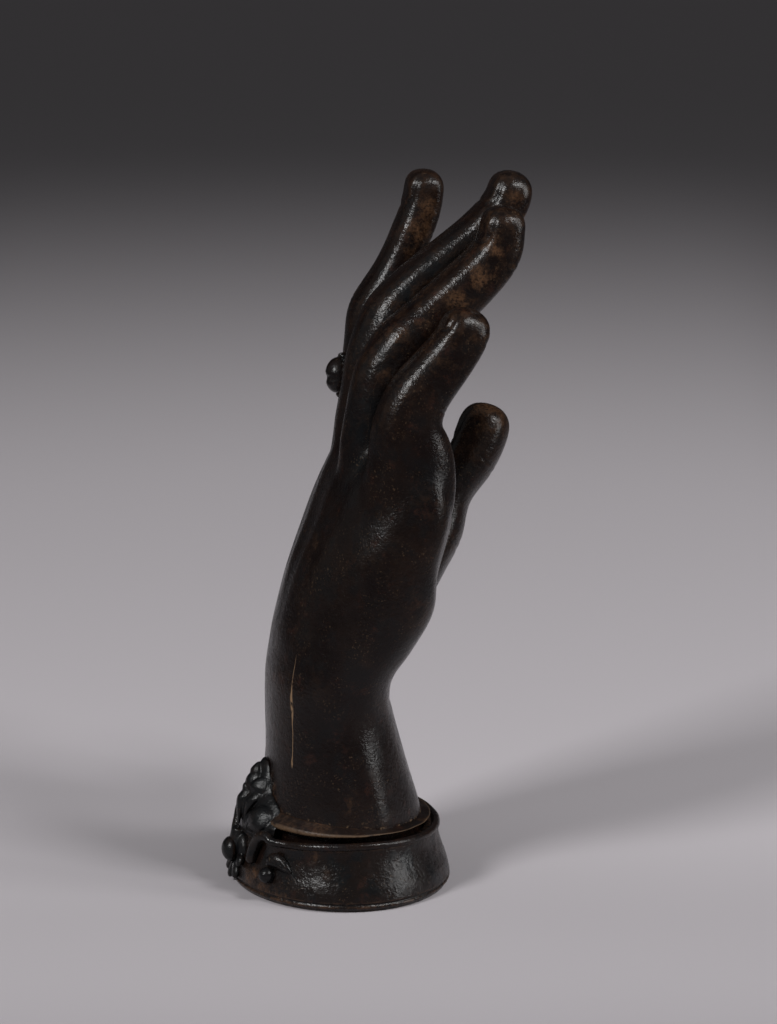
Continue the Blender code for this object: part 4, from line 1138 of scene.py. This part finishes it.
def cast_bronze(name, patina, ground, black_share, ochre_share=None, rough_shift=0.0,
                rubbed=0.15, uneven=0.05, dust=None):
    """Cast bronze with a waxed chemical patina.

    The patina is a thin dark skin that hides the metal, so it looks like dark
    brown lacquer with grey highlights, broken by the grain of the casting.
    Hollows go blue black, raised places are rubbed to ochre, and dust and old wax
    stay in pores and joints. Without an ochre_share, the stains that are marked on
    the piece are used; the blue black among them is also painted shade between the
    fingers and inside the cuff.
    """
    material, tree, shader, place = new_material(name)
    worn, deep, ochre_here, blue_black_and_shade_here = (
        node(tree, "ShaderNodeAttribute", {}, "Fac", attribute_name=mark)
        for mark in ("worn", "deep", "ochre_share", "black_share"))

    # Clouds of the patina, 9 mm to 3 mm across
    layers = [
        (patina.umber, patches(tree, place, 9, 0.40, 0.62)),
        (patina.black, patches(tree, place, 4.5, 0.48, 0.62, 4.0, share=black_share)),
        (patina.red_brown, patches(tree, place, 3.2, 0.54, 0.78, 6.0, 0.75, share=0.5)),
    ]
    # Ochre: ragged patches of 2 mm to 4 mm, broken up by a mottling of 0.45 mm
    if ochre_share is None:
        # Blue black at the marked places: patina, and painted shade between the fingers and inside
        # the cuff
        layers.append((patina.black, patches(tree, place, 1.6, 0.25, 0.5, share=blue_black_and_shade_here)))
        ragged = patches(tree, place, 2.2, 0.3, 0.7, 4.0, 0.65)
        ragged = node(tree, "ShaderNodeMath", {0: ragged, 1: ochre_here}, operation="ADD")
        spread = node(tree, "ShaderNodeMapRange", {"Value": ragged, "From Min": 0.6,
                                                   "From Max": 1.5, "To Max": ochre_here}, **SOFT)
    else:
        spread = patches(tree, place, 4, 0.53, 0.66, 4.0, share=ochre_share)
    layers.append((patina.ochre, patches(tree, place, 0.45, 0.30, 0.66, 4.0, 0.75, share=spread)))
    # Edges are rubbed thin, and grooves keep the black of the patina
    edge = node(tree, "ShaderNodeMath", {0: worn, 1: rubbed}, operation="MULTIPLY")
    layers += [(patina.ochre, patches(tree, place, 1.2, 0.38, 0.62, share=edge)),
               (patina.black, patches(tree, place, 3, 0.1, 0.3, share=deep))]
    # Specks of dust in the grain, 0.3 mm wide, in loose clusters
    loose = patches(tree, place, 5, 0.46, 0.62, share=0.16)
    dusty = patches(tree, place, 0.34, 0.60, 0.76, 1.0, share=loose)
    layers.append((patina.dust, dusty))
    if dust is not None:
        dusty = dust(tree, place)
        layers.append((patina.dust, dusty))
    tree.links.new(painted(tree, rgba(ground), layers), shader.inputs["Base Color"])

    # Wax is smoother where it was rubbed, and dust is dull
    cloudy = node(tree, "ShaderNodeTexNoise", {"Vector": place, "Scale": 1000 / 2.0,
                                               "Detail": 5.0, "Roughness": 0.65})
    wax = patina.roughness + rough_shift
    rough = node(tree, "ShaderNodeMapRange", {"Value": cloudy, "From Min": 0.25, "From Max": 0.75,
                                              "To Min": wax - 0.07, "To Max": wax + 0.14})
    rough = node(tree, "ShaderNodeMix", {0: dusty, 2: rough, 3: 0.8})
    tree.links.new(rough, shader.inputs["Roughness"])
    shader.inputs["Specular IOR Level"].default_value = patina.gloss

    # Grain of the casting, finer on the real one and drawn at 0.45 mm so that it shows,
    # and the skin of the mould at 1.1 mm
    normal = None
    for size, detail, soft, height in ((0.45, 2.0, 0.7, patina.grain),
                                       (1.1, 3.0, 0.55, uneven * MM)):
        cloud = node(tree, "ShaderNodeTexNoise", {"Vector": place, "Scale": 1000 / size,
                                                  "Detail": detail, "Roughness": soft})
        normal = node(tree, "ShaderNodeBump",
                      {"Height": cloud, "Distance": height, "Strength": 1.0, "Normal": normal})
    tree.links.new(normal, shader.inputs["Normal"])
    return material


def wrist_dust(tree, place):
    """Dust on the wrist: a dashed line over the collar, and the streak that ran down."""
    above, half_width = (node(tree, "ShaderNodeAttribute", {}, "Fac", attribute_name=mark)
                         for mark in ("above_collar", "streak_width"))
    line = node(tree, "ShaderNodeMapRange", {"Value": above, "From Min": 0.5 * MM,
                                             "From Max": 0.05 * MM, "To Max": 0.4}, **SOFT)
    line = patches(tree, place, 1.3, 0.48, 0.62, share=line)
    # The streak: distance across it, with a slight wander, against its own half width
    height, y = (node(tree, "ShaderNodeSeparateXYZ", {0: place}, axis) for axis in "ZY")
    wander = node(tree, "ShaderNodeTexNoise", {"W": height, "Scale": 1000 / 4.0, "Detail": 2.0},
                  noise_dimensions="1D")
    across = node(tree, "ShaderNodeMath", {0: wander, 1: STREAK_WANDER * MM, 2: y},
                  operation="MULTIPLY_ADD")
    across = node(tree, "ShaderNodeMath", {0: across, 1: STREAK_PLACE * MM},
                  operation="SUBTRACT")
    across = node(tree, "ShaderNodeMath", {0: across}, operation="ABSOLUTE")
    streak = node(tree, "ShaderNodeMapRange",
                  {"Value": across, "From Min": half_width, "From Max": 0.0}, **SOFT)
    streak = patches(tree, place, 1.0, 0.28, 0.5, share=streak)
    return node(tree, "ShaderNodeMath", {0: line, 1: streak}, operation="ADD", use_clamp=True)


def collar_dust(tree, place):
    """Dust in the joint under the collar: a thin line along its lower edge."""
    low = node(tree, "ShaderNodeAttribute", {}, "Fac", attribute_name="low_edge")
    return patches(tree, place, 1.6, 0.30, 0.52, share=low)


# Finishes of the bronze pieces by material slot: (name, ground colour or the main brown,
# share of blue black clouds, other values)
BRONZES = {
    "hand_bronze": ("cast_bronze_waxed_brown", None, 0.5,
                    {"uneven": 0.08, "dust": wrist_dust}),
    "cuff_bronze": ("cast_bronze_grey_brown", "#100a08", 0.8, {"rubbed": 0.4, "uneven": 0.12}),
    "wire_bronze": ("bronze_wire_rubbed", "#100e0f", 0.5, {"rough_shift": -0.04, "rubbed": 0.12}),
    "collar_bronze": ("bronze_collar_dusty", "#140e0c", 0.5,
                      {"ochre_share": 0.35, "rough_shift": 0.12, "rubbed": 0.2,
                       "dust": collar_dust}),
    "palmette_bronze": ("cast_bronze_black", "#0d0d10", 0.8,
                        {"rough_shift": 0.06, "rubbed": 0.2, "uneven": 0.08}),
    "rivet_bronze": ("bronze_boss_rubbed", "#0e0e10", 0.6, {}),
    "bead_bronze": ("bronze_bead_rubbed", "#121215", 0.4, {"rough_shift": -0.03}),
    "leaf_bronze": ("cast_bronze_leaf", "#111013", 0.5, {}),
    "ring_bronze": ("bronze_ring_brown", "#0f0c0d", 0.8, {"ochre_share": 0.15, "rubbed": 0.12}),
    "stone_bronze": ("bronze_dome_waxed", "#0f0c0d", 0.7, {"ochre_share": 0.15, "rubbed": 0.12}),
}


def brushed_metal(name, light, dark, roughness, size):
    """Old bare metal: dull and brown, with lighter scratches where it has been handled."""
    material, tree, shader, place = new_material(name)
    tarnish = patches(tree, place, size, 0.35, 0.65, 5.0)
    paint = painted(tree, rgba(linear(light)), [(linear(dark), tarnish)])
    tree.links.new(paint, shader.inputs["Base Color"])
    rough = node(tree, "ShaderNodeMapRange",
                 {"Value": tarnish, "To Min": roughness - 0.08, "To Max": roughness + 0.15})
    tree.links.new(rough, shader.inputs["Roughness"])
    shader.inputs["Metallic"].default_value = 0.9
    # Turning marks 0.3 mm apart, and the fine grain of the metal
    stretched = node(tree, "ShaderNodeMapping", {"Vector": place, "Scale": (1.0, 9.0, 9.0)})
    marks = node(tree, "ShaderNodeTexNoise",
                 {"Vector": stretched, "Scale": 1000 / 2.5, "Detail": 3.0})
    normal = node(tree, "ShaderNodeBump",
                  {"Height": marks, "Distance": 0.02 * MM, "Strength": 1.0})
    tree.links.new(normal, shader.inputs["Normal"])
    return material


# Operators

class PAPERWEIGHT_OT_hand(bpy.types.Operator):
    """Builds the skin of the hand with its nails, creases and tendons"""
    bl_idname = "paperweight.hand"
    bl_label = "Hand"

    def execute(self, context):
        skin = hand_skin(context.scene.paperweight_hand)
        stains = hand_marks(skin, context.scene.paperweight_cuff)
        dress(skin, "hand_bronze", "hand", 24, *stains)
        return {"FINISHED"}


class PAPERWEIGHT_OT_cuff(bpy.types.Operator):
    """Builds the cuff, its rim wire and the collar round the wrist"""
    bl_idname = "paperweight.cuff"
    bl_label = "Cuff"

    def execute(self, context):
        cuff = context.scene.paperweight_cuff
        band = piece_from("cuff_casting", [shell(cuff_surface(cuff), loop=True)])
        places, normals = points_of(band.data)
        # Painted shade: the inside of the cuff is painted blue black and kept free of ochre, so
        # that the gap under the collar reads dark
        inside = ramp((normals * unit(places * (1, 1, 0))).sum(1), 0.3, -0.1)
        dress(band, "cuff_bronze", "cuff_band", 12, near_places(places, CUFF_OCHRE) * (1 - inside),
              np.maximum(near_places(places, CUFF_BLACK), 3 * inside))
        wire = piece_from("cuff_rolled_rim", [shell(rim_surface(cuff))])
        back = ramp(-points_of(wire.data)[0][:, 0], 10.5, 14)
        dress(wire, "wire_bronze", "cuff_rim_wire", 8, 0.05, 0.9 * back)
        collar = piece_from("wrist_ledge", [shell(collar_surface(cuff), loop=True)])
        x, y, z = points_of(collar.data)[0].T
        out = np.hypot(x, y / cuff.oval) - cuff.wrist_half / MM - GAP
        store(collar, "low_edge", 0.35 * ramp(out / (cuff.collar_width / MM), 0.9, 0.99))
        dress(collar, "collar_bronze", "wrist_collar", 6)
        return {"FINISHED"}


class PAPERWEIGHT_OT_palmette(bpy.types.Operator):
    """Builds the palmette on the back of the cuff and the boss in its hub"""
    bl_idname = "paperweight.palmette"
    bl_label = "Palmette"

    def execute(self, context):
        cuff, ornament = context.scene.paperweight_cuff, context.scene.paperweight_ornament
        crest = piece_from("palmette_casting", palmette_shells(cuff, ornament))
        one_skin(crest, 0.13, 7)
        thin(crest, 60000)
        drop_specks(crest)
        dress(crest, "palmette_bronze", "palmette", 14, 0.1, 0.85)
        boss = piece_from("boss_head", [shell(boss_surface(cuff, ornament))])
        dress(boss, "rivet_bronze", "boss_rivet", 8, 0.05, 0.9)
        return {"FINISHED"}


class PAPERWEIGHT_OT_buds(bpy.types.Operator):
    """Builds the bead and the leaf on each side of the palmette"""
    bl_idname = "paperweight.buds"
    bl_label = "Beads and leaves"

    def execute(self, context):
        cuff, ornament = context.scene.paperweight_cuff, context.scene.paperweight_ornament
        radius = ornament.bead_radius / MM
        for side, sign in (("thumb_side", 1), ("little_side", -1)):
            place, *axes = cuff_place(cuff, sign * 34.8, 4.45, radius * 0.4)
            bead = piece_from("bead_ball_" + side, [shell(dome(place, [radius] * 3, axes))])
            dress(bead, "bead_bronze", "bead_" + side, 6, 0.1, 0.8)
            place, along, up, out = cuff_place(cuff, sign * 40.4, 5.9, -0.1)
            along = unit(along * sign - 0.13 * up)
            rings = leaf_surface(place, along, up, out, ornament.leaf_length / MM,
                                 ornament.leaf_width / MM, 1.1, 0.8)
            leaf = piece_from("leaf_bud_" + side, [shell(rings)])
            dress(leaf, "leaf_bronze", "leaf_" + side, 6, 0.2, 0.6)
        return {"FINISHED"}


class PAPERWEIGHT_OT_ring(bpy.types.Operator):
    """Builds the finger ring with its beaded collet and its stone"""
    bl_idname = "paperweight.ring"
    bl_label = "Finger ring"

    def execute(self, context):
        ring = context.scene.paperweight_ring
        band = piece_from("ring_with_collet",
                          [shell(band_surface(ring), loop=True)] + collet_shells(ring))
        one_skin(band, 0.1, 1)
        dress(band, "ring_bronze", "finger_ring", 10)
        stone = piece_from("ring_dome", [shell(stone_surface(ring))])
        dress(stone, "stone_bronze", "ring_stone", 8)
        return {"FINISHED"}


class PAPERWEIGHT_OT_base(bpy.types.Operator):
    """Gives the plate and the screws in the underside their finish"""
    bl_idname = "paperweight.base"
    bl_label = "Base"

    def execute(self, context):
        brass = brushed_metal("sheet_brass_tarnished", "#6a5636", "#3a2e1e", 0.42, 5)
        steel = brushed_metal("screw_steel_darkened", "#5b5752", "#2e2b28", 0.4, 1.5)
        for name, material in (("base_plate", brass), ("base_screw_a", steel),
                               ("base_screw_b", steel)):
            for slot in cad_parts[name].material_slots:
                slot.material = material
        return {"FINISHED"}


class PAPERWEIGHT_OT_stage(bpy.types.Operator):
    """Builds the pale floor, the backdrop, the lights and the camera"""
    bl_idname = "paperweight.stage"
    bl_label = "Stage"

    def execute(self, context):
        build_stage(context.scene)
        return {"FINISHED"}


def view_directions(azimuth, elevation):
    """Directions from the object: back to the eye, right and up in its view."""
    a, e = math.radians(azimuth), math.radians(elevation)
    back = Vector((math.sin(a) * math.cos(e), -math.cos(a) * math.cos(e), math.sin(e)))
    right = Vector((math.cos(a), math.sin(a), 0))
    return back, right, back.cross(right)


def soft_light(name, scene, azimuth, elevation, width, height, power):
    """A rectangular lamp that points at the middle of the object."""
    data = bpy.data.lights.new(name, "AREA")
    data.shape = "RECTANGLE"
    data.size, data.size_y, data.energy = width, height, power
    lamp = bpy.data.objects.new(name, data)
    scene.collection.objects.link(lamp)
    back = view_directions(azimuth, elevation)[0]
    lamp.location = Vector((0, 0, 0.055)) + back * LAMP_DISTANCE
    lamp.rotation_mode = "QUATERNION"
    lamp.rotation_quaternion = back.to_track_quat("Z", "Y")


def floor_sweep(away, right):
    """The floor: level to 0.8 m behind the object, then a quarter circle and a wall."""
    bend = np.radians(np.linspace(0, 90, 25))
    run = np.concatenate([[-2.5, 0.0], 0.8 + 0.9 * np.sin(bend), [1.7]])
    rise = np.concatenate([[0.0, 0.0], 0.9 * (1 - np.cos(bend)), [4.0]])
    across = np.array([-3.0, 3.0])
    points = (run[:, None, None] * np.array(away) + across[None, :, None] * np.array(right)
              + rise[:, None, None] * np.array((0, 0, 1)))
    row = np.arange(len(run) - 1)
    faces = np.stack([row * 2, row * 2 + 1, row * 2 + 3, row * 2 + 2], -1)
    mesh = bpy.data.meshes.new("floor_sweep")
    mesh.from_pydata(points.reshape(-1, 3).tolist(), [], faces.tolist())
    mesh.shade_smooth()
    sweep = bpy.data.objects.new("floor_sweep", mesh)
    bpy.context.scene.collection.objects.link(sweep)
    return sweep


def paper_with_painted_shade(stage, away):
    """Matt paper: pale round the object, with painted shade that darkens it with the distance from
    it.
    """
    material, tree, shader, place = new_material("matt_paper_painted_shade")
    centred = node(tree, "ShaderNodeMapping",
                   {"Vector": place, "Location": tuple(-away * 0.12)})
    distance = node(tree, "ShaderNodeVectorMath", {0: centred}, "Value", operation="LENGTH")
    behind, beside = (
        node(tree, "ShaderNodeVectorMath", {0: place, 1: way}, "Value", operation="DOT_PRODUCT")
        for way in (tuple(away), (-away.y, away.x, 0)))
    beside = node(tree, "ShaderNodeMath", {0: beside}, operation="ABSOLUTE")
    # Painted shade: darker towards the wall, where light falls off, a little darker in front of
    # the object, and dark where the picture ends in front and beside it: (measure, start and end
    # in metres, share)
    painted_shade_masks = ((distance, 0.15, 0.62, 1.0), (behind, -0.05, -0.21, 1.0),
             (behind, 0.04, -0.03, 0.22), (beside, 0.085, 0.18, 1.0))
    layers = [(stage.backdrop, node(tree, "ShaderNodeMapRange",
                                    {"Value": value, "From Min": start, "From Max": end,
                                     "To Max": share}, **SOFT))
              for value, start, end, share in painted_shade_masks]
    tree.links.new(painted(tree, rgba(stage.floor), layers), shader.inputs["Base Color"])
    shader.inputs["Roughness"].default_value = 0.9
    return material


def build_stage(scene):
    stage = scene.paperweight_stage
    back, right, up = view_directions(CAMERA_AZIMUTH, CAMERA_ELEVATION)
    away = -Vector((back.x, back.y, 0)).normalized()
    sweep = floor_sweep(away, right)
    sweep.data.materials.append(paper_with_painted_shade(stage, away))

    # Azimuth and elevation in degrees, width and height in metres
    soft_light("key_light", scene, 44, 45, 0.2, 0.2, stage.key)
    soft_light("side_light", scene, -57, 36, 0.22, 0.22, stage.side)
    soft_light("panel_light", scene, 64, 18, 0.24, 0.65, stage.panel)
    world = bpy.data.worlds.new("grey_room")
    world.use_nodes = True
    room = world.node_tree.nodes["Background"]
    room.inputs["Color"].default_value = (0.5, 0.5, 0.5, 1)
    room.inputs["Strength"].default_value = stage.world
    scene.world = world
    scene.view_settings.view_transform = "Standard"

    data = bpy.data.cameras.new("camera")
    camera = bpy.data.objects.new("camera", data)
    scene.collection.objects.link(camera)
    scene.camera = camera
    width, height = PHOTO_SIZE
    data.sensor_fit = "VERTICAL"
    data.sensor_height = 24
    data.lens = 24 * CAMERA_DISTANCE / (height * MM_PER_PIXEL)
    data.clip_end = 20
    target = (right * (width / 2 - ORIGIN_PIXEL[0]) + up * (ORIGIN_PIXEL[1] - height / 2))
    camera.location = (target * MM_PER_PIXEL + back * CAMERA_DISTANCE) * MM
    camera.rotation_mode = "QUATERNION"
    camera.rotation_quaternion = back.to_track_quat("Z", "Y")


class PAPERWEIGHT_PT_panel(bpy.types.Panel):
    """Lists the pieces of the paperweight and their settings"""
    bl_idname = "PAPERWEIGHT_PT_panel"
    bl_label = "Paperweight"
    bl_space_type = "VIEW_3D"
    bl_region_type = "UI"
    bl_category = "Paperweight"

    def draw(self, context):
        for operator, settings in STEPS:
            box = self.layout.box()
            box.operator(operator.bl_idname)
            if settings:
                group = getattr(context.scene, settings)
                for name in group.bl_rna.properties.keys():
                    if name not in ("rna_type", "name"):
                        box.prop(group, name)


GROUPS = (
    ("paperweight_hand", HandSettings),
    ("paperweight_cuff", CuffSettings),
    ("paperweight_ornament", OrnamentSettings),
    ("paperweight_ring", RingSettings),
    ("paperweight_patina", PatinaSettings),
    ("paperweight_stage", StageSettings),
)

STEPS = (
    (PAPERWEIGHT_OT_hand, "paperweight_hand"),
    (PAPERWEIGHT_OT_cuff, "paperweight_cuff"),
    (PAPERWEIGHT_OT_palmette, "paperweight_ornament"),
    (PAPERWEIGHT_OT_buds, None),
    (PAPERWEIGHT_OT_ring, "paperweight_ring"),
    (PAPERWEIGHT_OT_base, "paperweight_patina"),
    (PAPERWEIGHT_OT_stage, "paperweight_stage"),
)


def register():
    for name, group in GROUPS:
        bpy.utils.register_class(group)
        setattr(bpy.types.Scene, name, bpy.props.PointerProperty(type=group))
    for operator, _ in STEPS:
        bpy.utils.register_class(operator)
    bpy.utils.register_class(PAPERWEIGHT_PT_panel)


def unregister():
    bpy.utils.unregister_class(PAPERWEIGHT_PT_panel)
    for operator, _ in reversed(STEPS):
        bpy.utils.unregister_class(operator)
    for name, group in reversed(GROUPS):
        delattr(bpy.types.Scene, name)
        bpy.utils.unregister_class(group)


def main():
    register()
    bpy.ops.paperweight.hand()
    bpy.ops.paperweight.cuff()
    bpy.ops.paperweight.palmette()
    bpy.ops.paperweight.buds()
    bpy.ops.paperweight.ring()
    bpy.ops.paperweight.base()
    bpy.ops.paperweight.stage()


if __name__ == "__main__":
    main()
